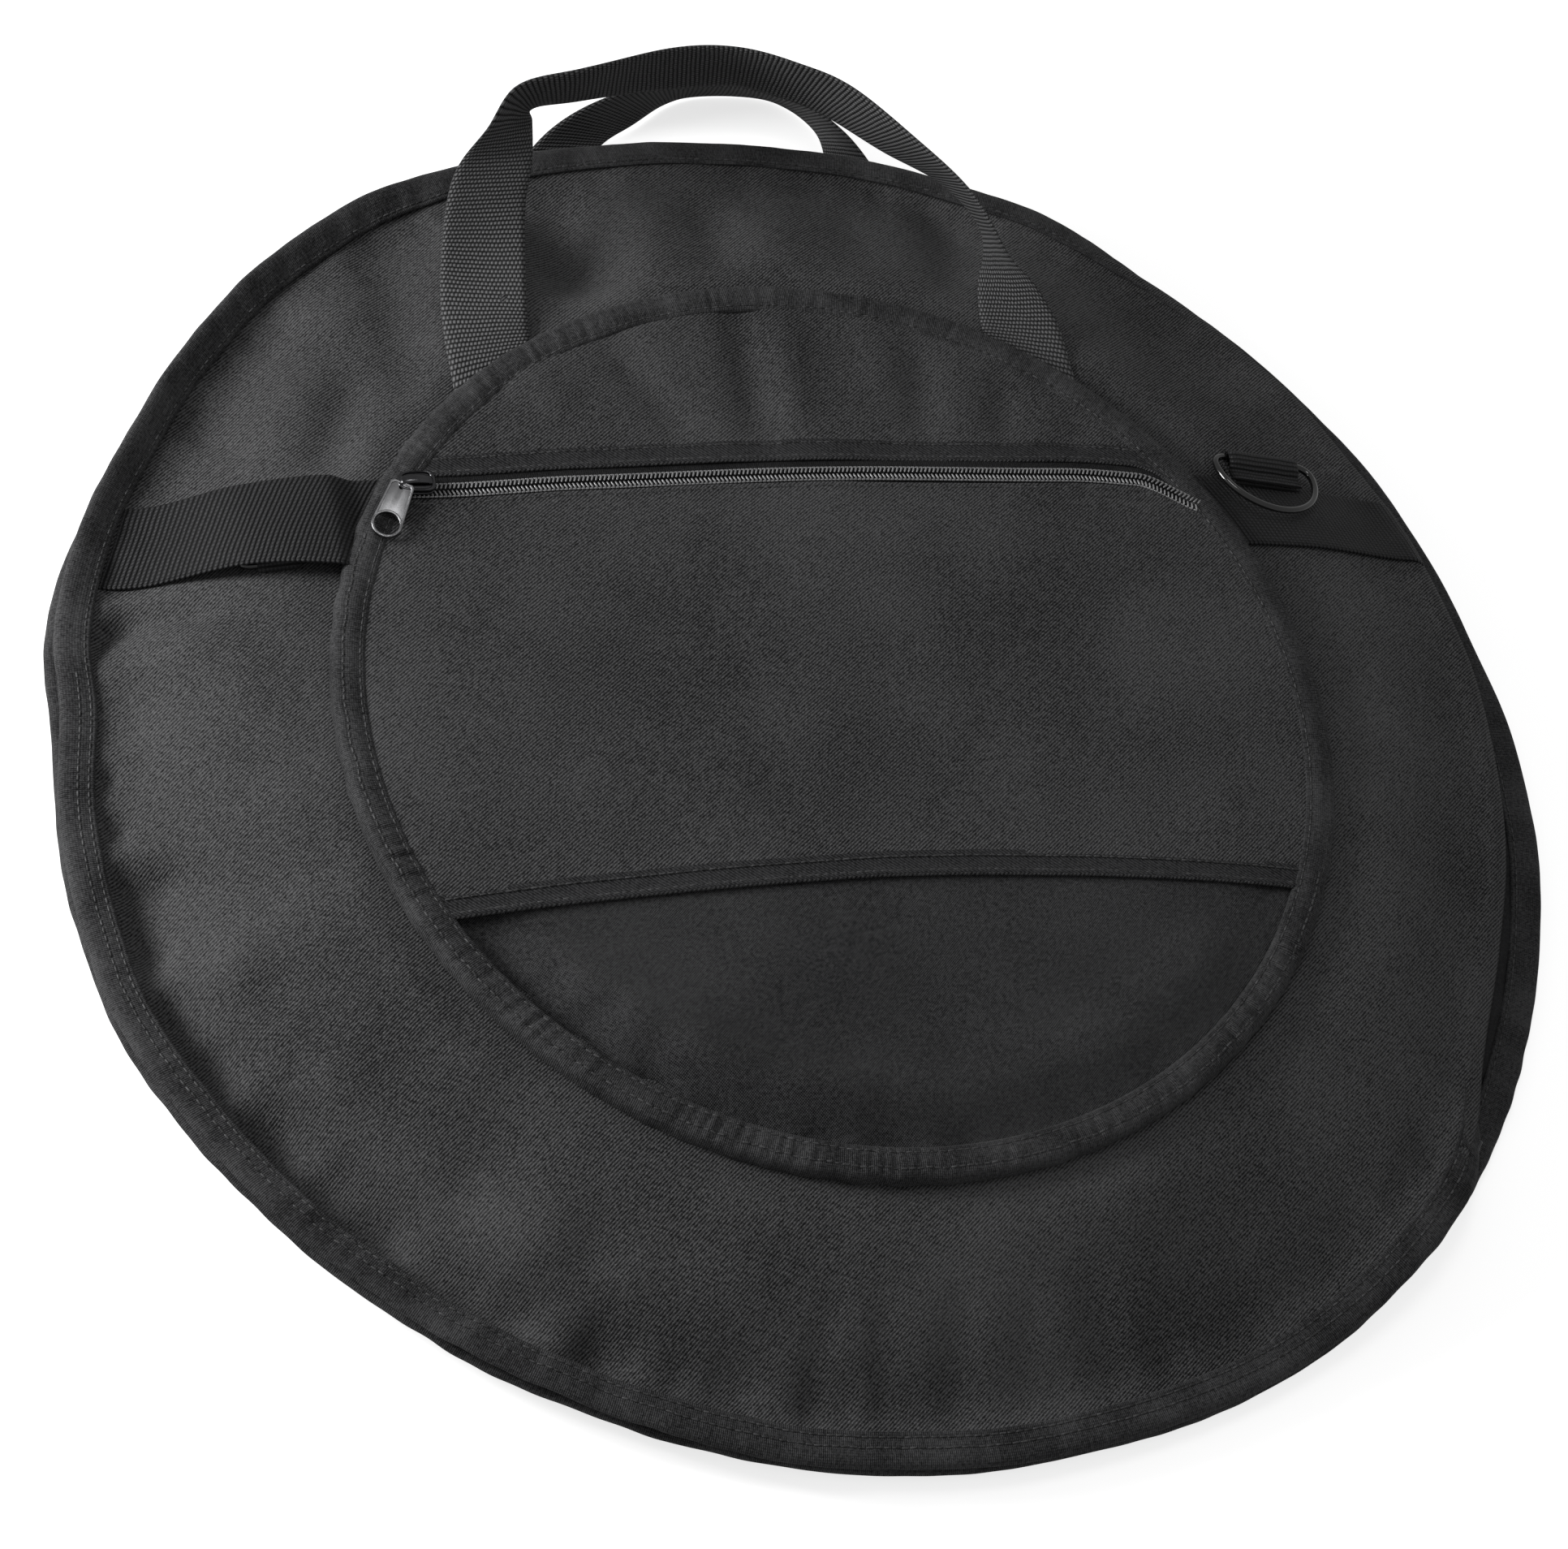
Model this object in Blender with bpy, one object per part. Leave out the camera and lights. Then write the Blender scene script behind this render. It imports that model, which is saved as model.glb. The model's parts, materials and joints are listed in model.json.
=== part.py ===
"""Round padded cymbal bag with a zipped hi-hat pocket, two carrying handles and two strap rings.

The bag lies on its back. +Z points out of the front, +Y points to the handles, and the origin is
the centre of the flat back face. Every size is in metres.
"""
import math

import bmesh
import bpy
from mathutils import Matrix, Vector

# Whole bag
BAG_RADIUS = 0.305
FRONT_HEIGHT = 0.040
FIT_GAP = 0.0003
SEGMENTS = 48

# Cloth, padding and lining
CLOTH = 0.0016
PADDING = 0.005
PADDING_AT_EDGE = 0.001
PADDING_MARGIN = 0.033
PADDING_RADIUS = BAG_RADIUS - PADDING_MARGIN
PADDING_THINNING = 0.037
PADDING_FULL_RADIUS = PADDING_RADIUS - PADDING_THINNING
LINING = 0.001
BACK_SLOPE = 0.090
FLAT_BACK_RADIUS = BAG_RADIUS - BACK_SLOPE
FRONT_SLOPE = 0.100
FLAT_FRONT_RADIUS = BAG_RADIUS - FRONT_SLOPE

# Edge bindings
BINDING_WIDTH = 0.014
BINDING_HEIGHT = 0.005
BINDING_WALL = 0.0014
BINDING_ROUNDING = 0.0015
BACK_BINDING_LIFT = 0.0022

# Main zip, which runs round the top of the bag
ZIP_START_STEP = -6
ZIP_END_STEP = 23
ZIP_RELEASE_STEPS = 3
ZIP_TAPE = 0.0008
ZIP_TAPE_WALL = 0.0027
MAIN_TEETH_HEIGHT = 0.0024
MAIN_TEETH_DEPTH = 0.002
MAIN_ZIP_INSET = 0.0109

# Pocket on the front
POCKET_MARGIN = 0.103
POCKET_RADIUS = BAG_RADIUS - POCKET_MARGIN
POCKET_BINDING_WIDTH = 0.0132
POCKET_ROOM = 0.006
POCKET_ZIP_DROP = 0.0975
POCKET_ZIP_Y = POCKET_RADIUS - POCKET_ZIP_DROP
POCKET_WINDOW = 0.0088
POCKET_HEM_RISE = 0.1225
POCKET_HEM_Y = POCKET_HEM_RISE - POCKET_RADIUS
POCKET_HEM_DEPTH = 0.010
POCKET_TAPE_WIDTH = 0.0125

# Pocket zip teeth
TOOTH_PITCH = 0.0025
TOOTH_REACH = 0.0008
TOOTH_ROOT = 0.0011
TOOTH_TAPER_SHARE = 0.125
TEETH_HALF_WIDTH = 0.003
TEETH_HEIGHT = 0.002

# Sliders and their pulls
SLIDER_LENGTH = 0.015
SLIDER_WIDTH = 0.0105
SLIDER_WALL = 0.0011
SLIDER_ROOF_GAP = 0.0004
BRIDGE_SPAN = 0.0116
BRIDGE_ROOM = 0.0032
BRIDGE_WALL = 0.0012
BRIDGE_WIDTH = 0.0022
PULL_THICKNESS = 0.0012
PULL_LENGTH = 0.020
PULL_RIM = 0.0011
POCKET_PULL_END_RADIUS = 0.0061
POCKET_PULL_TOP_WIDTH = 0.0096
PULL_BAR = 0.0016
PULL_EYE_LENGTH = 0.0057
PULL_EYE_SIDE = 0.0015
SLIDER_PAST_CHAIN = 0.0029
POCKET_PULL_TURN = math.radians(63)
POCKET_PULL_REACH = 0.0024
POCKET_PULL_SIDE = 0.0012
POCKET_PULL_DROP = math.radians(5)
MAIN_SLIDER_STEP = -5.4
MAIN_PULL_REACH = 0.002
MAIN_BRIDGE_ROOM = 0.0026
MAIN_PULL_THICKNESS = 0.001
MAIN_PULL_END_RADIUS = 0.0053
MAIN_PULL_TOP_WIDTH = 0.0092
MAIN_SLIDER_PLAY = 0.0006

# Webbing
WEBBING = 0.0016
HANDLE_WIDTH = 0.032
BAND_WIDTH = 0.035
BAND_BELOW_ZIP = 0.0135
BAND_Y = POCKET_ZIP_Y - BAND_BELOW_ZIP
BAND_CLEARANCE = 0.0006
BAND_RISE = 0.0088
BAND_RAMP = 0.014

# Front handle, from its left foot over the top to its right foot
FRONT_FOOT_INSET = 0.085
FRONT_FOOT_GAP = 0.003
FRONT_FOOT_X = POCKET_RADIUS - FRONT_FOOT_INSET
FRONT_FOOT_INNER_EDGE = FRONT_FOOT_X - HANDLE_WIDTH / 2
FRONT_FOOT_Y = math.sqrt(POCKET_RADIUS ** 2 - FRONT_FOOT_INNER_EDGE ** 2) + FRONT_FOOT_GAP
FRONT_HANDLE_OVERHANG = 0.004
FRONT_HANDLE_REACH = BAG_RADIUS + FRONT_HANDLE_OVERHANG - FRONT_FOOT_Y
FRONT_HANDLE_RISE = 0.034

# Back handle, which lies on the floor and turns on edge past the rim
BACK_FOOT_X = 0.078
BACK_FOOT_MARGIN = 0.043
BACK_FOOT_Y = BAG_RADIUS - BACK_FOOT_MARGIN
BACK_HANDLE_REACH = 0.074
BACK_HANDLE_LIFT = 0.0002

# Strap rings and the webbing loops that hold them
RING_WIRE = 0.004
RING_HALF_WIDTH = 0.0205
RING_DEPTH = 0.024
RING_CORNER = 0.005
RIGHT_RING_PROUD = 0.0055
RIGHT_RING_BAR_Y = BAND_Y + BAND_WIDTH / 2 + RIGHT_RING_PROUD
RIGHT_RING_NEAR_Y = RIGHT_RING_BAR_Y - RING_DEPTH / 2
RIGHT_RING_GAP = 0.0117
RIGHT_RING_X = (math.sqrt(POCKET_RADIUS ** 2 - RIGHT_RING_NEAR_Y ** 2)
                + RING_HALF_WIDTH + RIGHT_RING_GAP)
LEFT_RING_PROUD = 0.002
LEFT_RING_BAR_Y = BAND_Y - BAND_WIDTH / 2 - LEFT_RING_PROUD
LEFT_RING_GAP = 0.0041
LEFT_RING_X = math.sqrt(POCKET_RADIUS ** 2 - LEFT_RING_BAR_Y ** 2) + RING_HALF_WIDTH + LEFT_RING_GAP
LOOP_WIDTH = 0.030
LOOP_WALL = 0.0012
LOOP_TONGUE = 0.010
LOOP_PLAY = 0.00035

PROFILE_OVERRUN = 0.001
TURN = 2 * math.pi / SEGMENTS


def clear_scene():
    for item in list(bpy.data.objects):
        bpy.data.objects.remove(item, do_unlink=True)


def material(name, colour, roughness, metallic=0.0):
    """One Principled material."""
    made = bpy.data.materials.new(name)
    made.use_nodes = True
    shader = made.node_tree.nodes["Principled BSDF"]
    shader.inputs["Base Color"].default_value = (*colour, 1.0)
    shader.inputs["Roughness"].default_value = roughness
    shader.inputs["Metallic"].default_value = metallic
    return made


def cloth_material(name):
    return material(name, (0.012, 0.012, 0.013), 0.85)


def metal_material(name, colour=(0.55, 0.55, 0.56)):
    return material(name, colour, 0.3, 1.0)


def place(name, mesh, look, matrix=Matrix.Identity(4), parent=None):
    """Make the named object, with its origin at the given place."""
    item = bpy.data.objects.new(name, mesh)
    bpy.context.scene.collection.objects.link(item)
    mesh.materials.append(look)
    item.parent = parent
    item.matrix_world = matrix
    return item


def finish_mesh(name, bm):
    """Turn a bmesh into a closed, smooth-shaded mesh with its faces pointing out."""
    bmesh.ops.recalc_face_normals(bm, faces=bm.faces)
    mesh = bpy.data.meshes.new(name)
    bm.to_mesh(mesh)
    bm.free()
    mesh.shade_smooth()
    mesh.set_sharp_from_angle(angle=math.radians(35))
    return mesh


def smooth(value):
    """Smooth rise from 0 to 1."""
    held = min(max(value, 0.0), 1.0)
    return held * held * (3 - 2 * held)


# Heights of the layers

def back_underside(radius):
    """The back lies flat and lifts to its binding."""
    start = FLAT_BACK_RADIUS
    reach = BAG_RADIUS - BINDING_WIDTH - start
    return (BACK_BINDING_LIFT + BINDING_WALL + FIT_GAP) * smooth((radius - start) / reach)


def zip_stack():
    """Height from the back binding's top to the front binding's foot along the zip."""
    half = FIT_GAP + ZIP_TAPE_WALL + FIT_GAP + MAIN_TEETH_HEIGHT
    return 2 * half + FIT_GAP


def front_binding_foot(step):
    """The front binding stands off along the zip and lies on the back binding where it is sewn."""
    past = min((step - ZIP_END_STEP) % SEGMENTS, (ZIP_START_STEP - step) % SEGMENTS)
    inside = (step - ZIP_START_STEP) % SEGMENTS <= ZIP_END_STEP - ZIP_START_STEP
    open_share = 1.0 if inside else 1.0 - smooth(past / ZIP_RELEASE_STEPS)
    seat = BACK_BINDING_LIFT + BINDING_HEIGHT
    return seat + FIT_GAP + (zip_stack() - FIT_GAP) * open_share


def front_top(radius, step):
    """Top of the front cloth: flat under the pocket, falling to its binding."""
    edge = front_binding_foot(step) + BINDING_WALL + FIT_GAP + CLOTH
    reach = BAG_RADIUS - BINDING_WIDTH - FLAT_FRONT_RADIUS
    share = min(max((radius - FLAT_FRONT_RADIUS) / reach, 0.0), 1.0)
    return edge + (FRONT_HEIGHT - edge) * 0.5 * (1 + math.cos(math.pi * share))


def front_top_at(x, y):
    """Top of the front cloth over a point, between the two nearest steps."""
    step = math.atan2(y, x) / TURN
    low = math.floor(step)
    radius = math.hypot(x, y)
    return front_top(radius, low) * (low + 1 - step) + front_top(radius, low + 1) * (step - low)


def padding_at(radius):
    """Padding thins towards the edge."""
    share = (radius - PADDING_FULL_RADIUS) / (PADDING_RADIUS - PADDING_FULL_RADIUS)
    return PADDING + (PADDING_AT_EDGE - PADDING) * smooth(share)


# Mesh builders

def disc_layer(name, radii, low, high, look, parent):
    """A closed round layer between two height functions of radius and step."""
    bm = bmesh.new()
    edges = []
    for height in (low, high):
        hub = bm.verts.new((0, 0, height(0, 0)))
        rings = []
        for radius in radii:
            ring = []
            for step in range(SEGMENTS):
                angle = step * TURN
                ring.append(bm.verts.new((radius * math.cos(angle), radius * math.sin(angle),
                                          height(radius, step))))
            rings.append(ring)
        edges.append(rings[-1])
        for step in range(SEGMENTS):
            after = (step + 1) % SEGMENTS
            bm.faces.new((hub, rings[0][step], rings[0][after]))
            for inner, outer in zip(rings, rings[1:]):
                bm.faces.new((inner[step], outer[step], outer[after], inner[after]))
    bottom, top = edges
    for step in range(SEGMENTS):
        after = (step + 1) % SEGMENTS
        bm.faces.new((bottom[step], bottom[after], top[after], top[step]))
    return place(name, finish_mesh(name, bm), look, parent=parent)


def turned_band(name, profile, steps, look, parent):
    """Sweep a profile of radius and height round the bag, closed or over a run of steps."""
    bm = bmesh.new()
    closed = len(steps) == SEGMENTS
    rings = []
    for step in steps:
        angle = step * TURN
        rings.append([bm.verts.new((radius * math.cos(angle), radius * math.sin(angle), height))
                      for radius, height in profile(step)])
    pairs = list(zip(rings, rings[1:]))
    if closed:
        pairs.append((rings[-1], rings[0]))
    else:
        bm.faces.new(rings[0])
        bm.faces.new(rings[-1])
    for here, there in pairs:
        for index in range(len(here)):
            after = (index + 1) % len(here)
            bm.faces.new((here[index], here[after], there[after], there[index]))
    return place(name, finish_mesh(name, bm), look, parent=parent)


def plate_mesh(name, outline, low, high):
    """Extrude an outline between two heights."""
    bm = bmesh.new()
    face = bm.faces.new([bm.verts.new((x, y, low)) for x, y in outline])
    grown = bmesh.ops.extrude_face_region(bm, geom=[face])
    lifted = [part for part in grown["geom"] if isinstance(part, bmesh.types.BMVert)]
    bmesh.ops.translate(bm, verts=lifted, vec=(0, 0, high - low))
    return finish_mesh(name, bm)


def strap_axes(inward, travel):
    """Directions across a strap's width and through its thickness."""
    across = (inward - travel * inward.dot(travel)).normalized()
    return across, travel.cross(across)


def ribbon_mesh(name, sections, width, thickness):
    """Sweep a flat strap through sections of centre, inward direction and travel direction."""
    bm = bmesh.new()
    rings = []
    for centre, inward, travel in sections:
        across, face = strap_axes(inward, travel)
        corners = []
        for side, level in ((-1, -1), (1, -1), (1, 1), (-1, 1)):
            corners.append(bm.verts.new(centre + across * (side * width / 2)
                                        + face * (level * thickness / 2)))
        rings.append(corners)
    bm.faces.new(rings[0])
    bm.faces.new(rings[-1])
    for here, there in zip(rings, rings[1:]):
        for index in range(4):
            after = (index + 1) % 4
            bm.faces.new((here[index], here[after], there[after], there[index]))
    return finish_mesh(name, bm)


def smooth_path(points, per_span=3):
    """Catmull-Rom curve through the points, with the travel direction at each."""
    padded = [points[0] * 2 - points[1], *points, points[-1] * 2 - points[-2]]
    path = []
    for index in range(1, len(padded) - 2):
        before, start, end, after = padded[index - 1:index + 3]
        last = index == len(padded) - 3
        for part in range(per_span + last):
            t = part / per_span
            place_here = 0.5 * (2 * start + (end - before) * t
                                + (2 * before - 5 * start + 4 * end - after) * t * t
                                + (3 * start - before - 3 * end + after) * t ** 3)
            path.append(place_here)
    travels = []
    for index in range(len(path)):
        ahead = path[min(index + 1, len(path) - 1)]
        behind = path[max(index - 1, 0)]
        travels.append((ahead - behind).normalized())
    return path, travels


def boolean(item, tool, operation):
    """Cut or join with the exact solver and keep the result as the item's own mesh."""
    change = item.modifiers.new(operation.lower(), "BOOLEAN")
    change.operation = operation
    change.solver = "EXACT"
    change.object = tool
    bpy.context.view_layer.update()
    graph = bpy.context.evaluated_depsgraph_get()
    made = bpy.data.meshes.new_from_object(item.evaluated_get(graph))
    item.modifiers.clear()
    item.data = made
    bpy.data.objects.remove(tool, do_unlink=True)
    made.shade_smooth()
    made.set_sharp_from_angle(angle=math.radians(35))


# Back shell

def back_layers(parent):
    rim = BAG_RADIUS - BINDING_WALL - BINDING_ROUNDING + 2 * FIT_GAP
    inner = BAG_RADIUS - BINDING_WIDTH
    radii = (FLAT_BACK_RADIUS, PADDING_FULL_RADIUS, (PADDING_FULL_RADIUS + PADDING_RADIUS) / 2,
             PADDING_RADIUS)
    disc_layer("back_panel", (*radii, inner, rim),
               lambda r, s: back_underside(r), lambda r, s: back_underside(r) + CLOTH,
               cloth_material("back_cloth"), parent)

    def padding_foot(radius):
        return back_underside(radius) + CLOTH + FIT_GAP

    def padding_top(radius):
        return padding_foot(radius) + padding_at(radius)

    disc_layer("back_padding", radii, lambda r, s: padding_foot(r), lambda r, s: padding_top(r),
               material("foam", (0.55, 0.55, 0.52), 0.9), parent)
    disc_layer("back_lining", radii, lambda r, s: padding_top(r) + FIT_GAP,
               lambda r, s: padding_top(r) + FIT_GAP + LINING,
               cloth_material("back_lining_cloth"), parent)


def binding_profile(foot):
    """Folded tape round a cloth edge: a channel that opens inwards."""
    outer = BAG_RADIUS
    inner = BAG_RADIUS - BINDING_WIDTH
    floor = outer - BINDING_ROUNDING
    slot = outer - BINDING_WALL - BINDING_ROUNDING + 3 * FIT_GAP
    top = foot + BINDING_HEIGHT
    return [(inner, foot), (floor, foot), (outer, foot + BINDING_ROUNDING),
            (outer, top - BINDING_ROUNDING), (floor, top), (inner, top),
            (inner, top - BINDING_WALL), (slot, top - BINDING_WALL),
            (slot, foot + BINDING_WALL), (inner, foot + BINDING_WALL)]


def bindings(back, front):
    look = cloth_material("binding_tape")
    turned_band("back_binding", lambda s: binding_profile(BACK_BINDING_LIFT),
                range(SEGMENTS), look, back)
    turned_band("front_binding", lambda s: binding_profile(front_binding_foot(s)),
                range(SEGMENTS), look, front)


# Main zip

def main_zip_levels():
    """Feet of the back tape, back teeth, front teeth and front tape."""
    back_tape = BACK_BINDING_LIFT + BINDING_HEIGHT + FIT_GAP
    back_teeth = back_tape + ZIP_TAPE_WALL + FIT_GAP
    front_teeth = back_teeth + MAIN_TEETH_HEIGHT + FIT_GAP
    front_tape = front_teeth + MAIN_TEETH_HEIGHT + FIT_GAP
    return back_tape, back_teeth, front_teeth, front_tape


def main_zip(back, front):
    """Each half is a tape folded along its binding, with a row of teeth on its standing edge."""
    tape_inner = BAG_RADIUS - BINDING_WIDTH + FIT_GAP
    wall_inner = BAG_RADIUS - MAIN_ZIP_INSET
    wall_outer = wall_inner + ZIP_TAPE
    back_tape, back_teeth, front_teeth, front_tape = main_zip_levels()
    steps = range(ZIP_START_STEP, ZIP_END_STEP + 1)
    tape_look = cloth_material("zip_tape")
    teeth_look = material("zip_coil", (0.02, 0.02, 0.02), 0.4)

    def tape(foot, flange_low, flange_high):
        top = foot + ZIP_TAPE_WALL
        if flange_low == foot:
            return [(tape_inner, foot), (wall_outer, foot), (wall_outer, top), (wall_inner, top),
                    (wall_inner, flange_high), (tape_inner, flange_high)]
        return [(tape_inner, flange_low), (wall_inner, flange_low), (wall_inner, foot),
                (wall_outer, foot), (wall_outer, top), (tape_inner, top)]

    def teeth(foot):
        outer = wall_inner + MAIN_TEETH_DEPTH
        return [(wall_inner, foot), (outer, foot), (outer, foot + MAIN_TEETH_HEIGHT),
                (wall_inner, foot + MAIN_TEETH_HEIGHT)]

    turned_band("main_zip_tape_back", lambda s: tape(back_tape, back_tape, back_tape + ZIP_TAPE),
                steps, tape_look, back)
    turned_band("main_zip_teeth_back", lambda s: teeth(back_teeth), steps, teeth_look, back)
    turned_band("main_zip_teeth_front", lambda s: teeth(front_teeth), steps, teeth_look, front)
    front_top_edge = front_tape + ZIP_TAPE_WALL
    turned_band("main_zip_tape_front",
                lambda s: tape(front_tape, front_top_edge - ZIP_TAPE, front_top_edge),
                steps, tape_look, front)


# Front shell

def front_layers(parent):
    rim = BAG_RADIUS - BINDING_WALL - BINDING_ROUNDING + 2 * FIT_GAP
    inner = BAG_RADIUS - BINDING_WIDTH
    count = 5
    slope = [FLAT_FRONT_RADIUS + (PADDING_RADIUS - FLAT_FRONT_RADIUS) * part / count
             for part in range(count + 1)]
    disc_layer("front_panel", (*slope, inner, rim), lambda r, s: front_top(r, s) - CLOTH, front_top,
               cloth_material("front_cloth"), parent)

    def padding_top(radius, step):
        return front_top(radius, step) - CLOTH - FIT_GAP

    def padding_foot(radius, step):
        return padding_top(radius, step) - padding_at(radius)

    disc_layer("front_padding", slope, padding_foot, padding_top,
               material("front_foam", (0.55, 0.55, 0.52), 0.9), parent)
    disc_layer("front_lining", slope, lambda r, s: padding_foot(r, s) - FIT_GAP - LINING,
               lambda r, s: padding_foot(r, s) - FIT_GAP,
               cloth_material("front_lining_cloth"), parent)


# Pocket

def pocket_levels():
    """Underside and top of the pocket's cloth."""
    under = FRONT_HEIGHT + POCKET_ROOM
    return under, under + CLOTH


def pocket_binding(parent):
    top = pocket_levels()[1]
    foot = FRONT_HEIGHT + FIT_GAP
    inner = POCKET_RADIUS - POCKET_BINDING_WIDTH
    shoulder = POCKET_RADIUS - BINDING_ROUNDING
    turned_band("pocket_binding",
                lambda s: [(inner, foot), (POCKET_RADIUS, foot),
                           (POCKET_RADIUS, top - BINDING_ROUNDING), (shoulder, top), (inner, top)],
                range(SEGMENTS), cloth_material("pocket_binding_tape"), parent)


def round_slice(radius, low_y, high_y, steps=12):
    """Outline of a disc between two level lines."""
    low = math.asin(max(low_y / radius, -1.0))
    high = math.asin(min(high_y / radius, 1.0))
    right = [low + (high - low) * part / steps for part in range(steps + 1)]
    outline = [(radius * math.cos(angle), radius * math.sin(angle)) for angle in right]
    outline += [(-x, y) for x, y in reversed(outline) if x > FIT_GAP]
    return outline


def pocket_panels(parent):
    """Upper panel, main panel between the zip and the hem, and lower panel."""
    under, top = pocket_levels()
    edge = (POCKET_RADIUS - POCKET_BINDING_WIDTH - FIT_GAP) * math.cos(TURN / 2)
    zip_low = POCKET_ZIP_Y - POCKET_WINDOW / 2
    zip_high = POCKET_ZIP_Y + POCKET_WINDOW / 2
    look = cloth_material("pocket_cloth")
    upper = plate_mesh("pocket_upper_panel", round_slice(edge, zip_high, edge), under, top)
    place("pocket_upper_panel", upper, look, parent=parent)
    main = plate_mesh("pocket_main_panel", round_slice(edge, POCKET_HEM_Y, zip_low), under, top)
    place("pocket_main_panel", main, look, parent=parent)
    lower_high = POCKET_HEM_Y + POCKET_HEM_DEPTH
    lower = plate_mesh("pocket_lower_panel", round_slice(edge, -edge, lower_high),
                       under - FIT_GAP - CLOTH, under - FIT_GAP)
    place("pocket_lower_panel", lower, cloth_material("pocket_lower_cloth"), parent=parent)


def chain_half_length(y):
    """Half of the zip's length at a line across the pocket."""
    edge = POCKET_RADIUS - POCKET_BINDING_WIDTH - 3 * FIT_GAP
    return math.sqrt(edge * edge - y * y)


def pocket_zip_tape(name, side, parent):
    """A strip of tape sewn under one lip of the zip's window."""
    under = pocket_levels()[0]
    near = POCKET_ZIP_Y + side * FIT_GAP
    far = POCKET_ZIP_Y + side * POCKET_TAPE_WIDTH
    half = chain_half_length(max(near, far))
    low, high = sorted((near, far))
    outline = [(-half, low), (half, low), (half, high), (-half, high)]
    mesh = plate_mesh(name, outline, under - FIT_GAP - ZIP_TAPE, under - FIT_GAP)
    place(name, mesh, cloth_material(name + "_cloth"), parent=parent)


def pocket_zip_teeth(name, side, parent):
    """A comb of teeth that meshes with the other half's comb."""
    half = chain_half_length(POCKET_ZIP_Y + TEETH_HALF_WIDTH)
    width = (TOOTH_PITCH - 2 * FIT_GAP) / 2
    count = int(2 * half / TOOTH_PITCH) - 1
    start = -count * TOOTH_PITCH / 2 + (TOOTH_PITCH / 2 if side > 0 else 0)
    bm = bmesh.new()

    def row(distance, places):
        return [bm.verts.new((x, POCKET_ZIP_Y + side * distance, 0)) for x in places]

    places = []
    for tooth in range(count):
        middle = start + tooth * TOOTH_PITCH
        places += [middle - width / 2, middle + width / 2]
    back = row(TEETH_HALF_WIDTH, places)
    root = row(TOOTH_ROOT, places)
    taper = width * TOOTH_TAPER_SHARE
    tips = row(-TOOTH_REACH, [x + (taper if index % 2 == 0 else -taper)
                              for index, x in enumerate(places)])
    for index in range(len(places) - 1):
        bm.faces.new((back[index], back[index + 1], root[index + 1], root[index]))
        if index % 2 == 0:
            bm.faces.new((root[index], root[index + 1], tips[index + 1], tips[index]))
    grown = bmesh.ops.extrude_face_region(bm, geom=list(bm.faces))
    lifted = [part for part in grown["geom"] if isinstance(part, bmesh.types.BMVert)]
    bmesh.ops.translate(bm, verts=lifted, vec=(0, 0, TEETH_HEIGHT))
    foot = pocket_levels()[0]
    place(name, finish_mesh(name, bm), metal_material(name + "_coil", (0.3, 0.3, 0.31)),
          Matrix.Translation((0, 0, foot)), parent)


# Sliders

def slider(name, matrix, parent, bridge_room, room_below=0.0):
    """Zip slider: a flanged roof over the teeth, with a bridge that holds the pull."""
    wall = SLIDER_WALL
    inner = TEETH_HALF_WIDTH + SLIDER_ROOF_GAP
    length_shares = (-0.5, -0.38, -0.1, 0.22, 0.42, 0.5)
    width_shares = (0.72, 0.86, 0.96, 1.0, 0.94, 0.84)
    roof = room_below + SLIDER_ROOF_GAP
    bm = bmesh.new()
    rings = []
    for along, share in zip(length_shares, width_shares):
        x = along * SLIDER_LENGTH
        outer = max(SLIDER_WIDTH / 2 * share, inner + SLIDER_ROOF_GAP)
        crown = outer - wall / 2
        section = [(-outer, 0), (-outer, roof + wall / 2), (-crown, roof + wall),
                   (crown, roof + wall), (outer, roof + wall / 2), (outer, 0),
                   (inner, 0), (inner, roof), (-inner, roof), (-inner, 0)]
        rings.append([bm.verts.new((x, y, z)) for y, z in section])
    bm.faces.new(rings[0])
    bm.faces.new(rings[-1])
    for here, there in zip(rings, rings[1:]):
        for index in range(len(here)):
            after = (index + 1) % len(here)
            bm.faces.new((here[index], here[after], there[after], there[index]))
    body = place(name, finish_mesh(name, bm), metal_material(name + "_metal"), matrix, parent)
    span = BRIDGE_SPAN / 2
    rise = bridge_room + BRIDGE_WALL
    outer_line = [(-span, -wall / 2), (-span, rise - BRIDGE_WALL), (-span + BRIDGE_WALL, rise),
                  (span - BRIDGE_WALL, rise), (span, rise - BRIDGE_WALL), (span, -wall / 2)]
    leg = span - BRIDGE_WALL
    inner_line = [(leg, -wall / 2), (leg, bridge_room), (-leg, bridge_room), (-leg, -wall / 2)]
    arch = bmesh.new()
    face = arch.faces.new([arch.verts.new((x, -BRIDGE_WIDTH / 2, z + roof + wall))
                           for x, z in outer_line + inner_line])
    grown = bmesh.ops.extrude_face_region(arch, geom=[face])
    moved = [part for part in grown["geom"] if isinstance(part, bmesh.types.BMVert)]
    bmesh.ops.translate(arch, verts=moved, vec=(0, BRIDGE_WIDTH, 0))
    tool = place(name + "_bridge", finish_mesh(name + "_bridge", arch),
                 bpy.data.materials[name + "_metal"], matrix)
    boolean(body, tool, "UNION")
    return roof + wall


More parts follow.
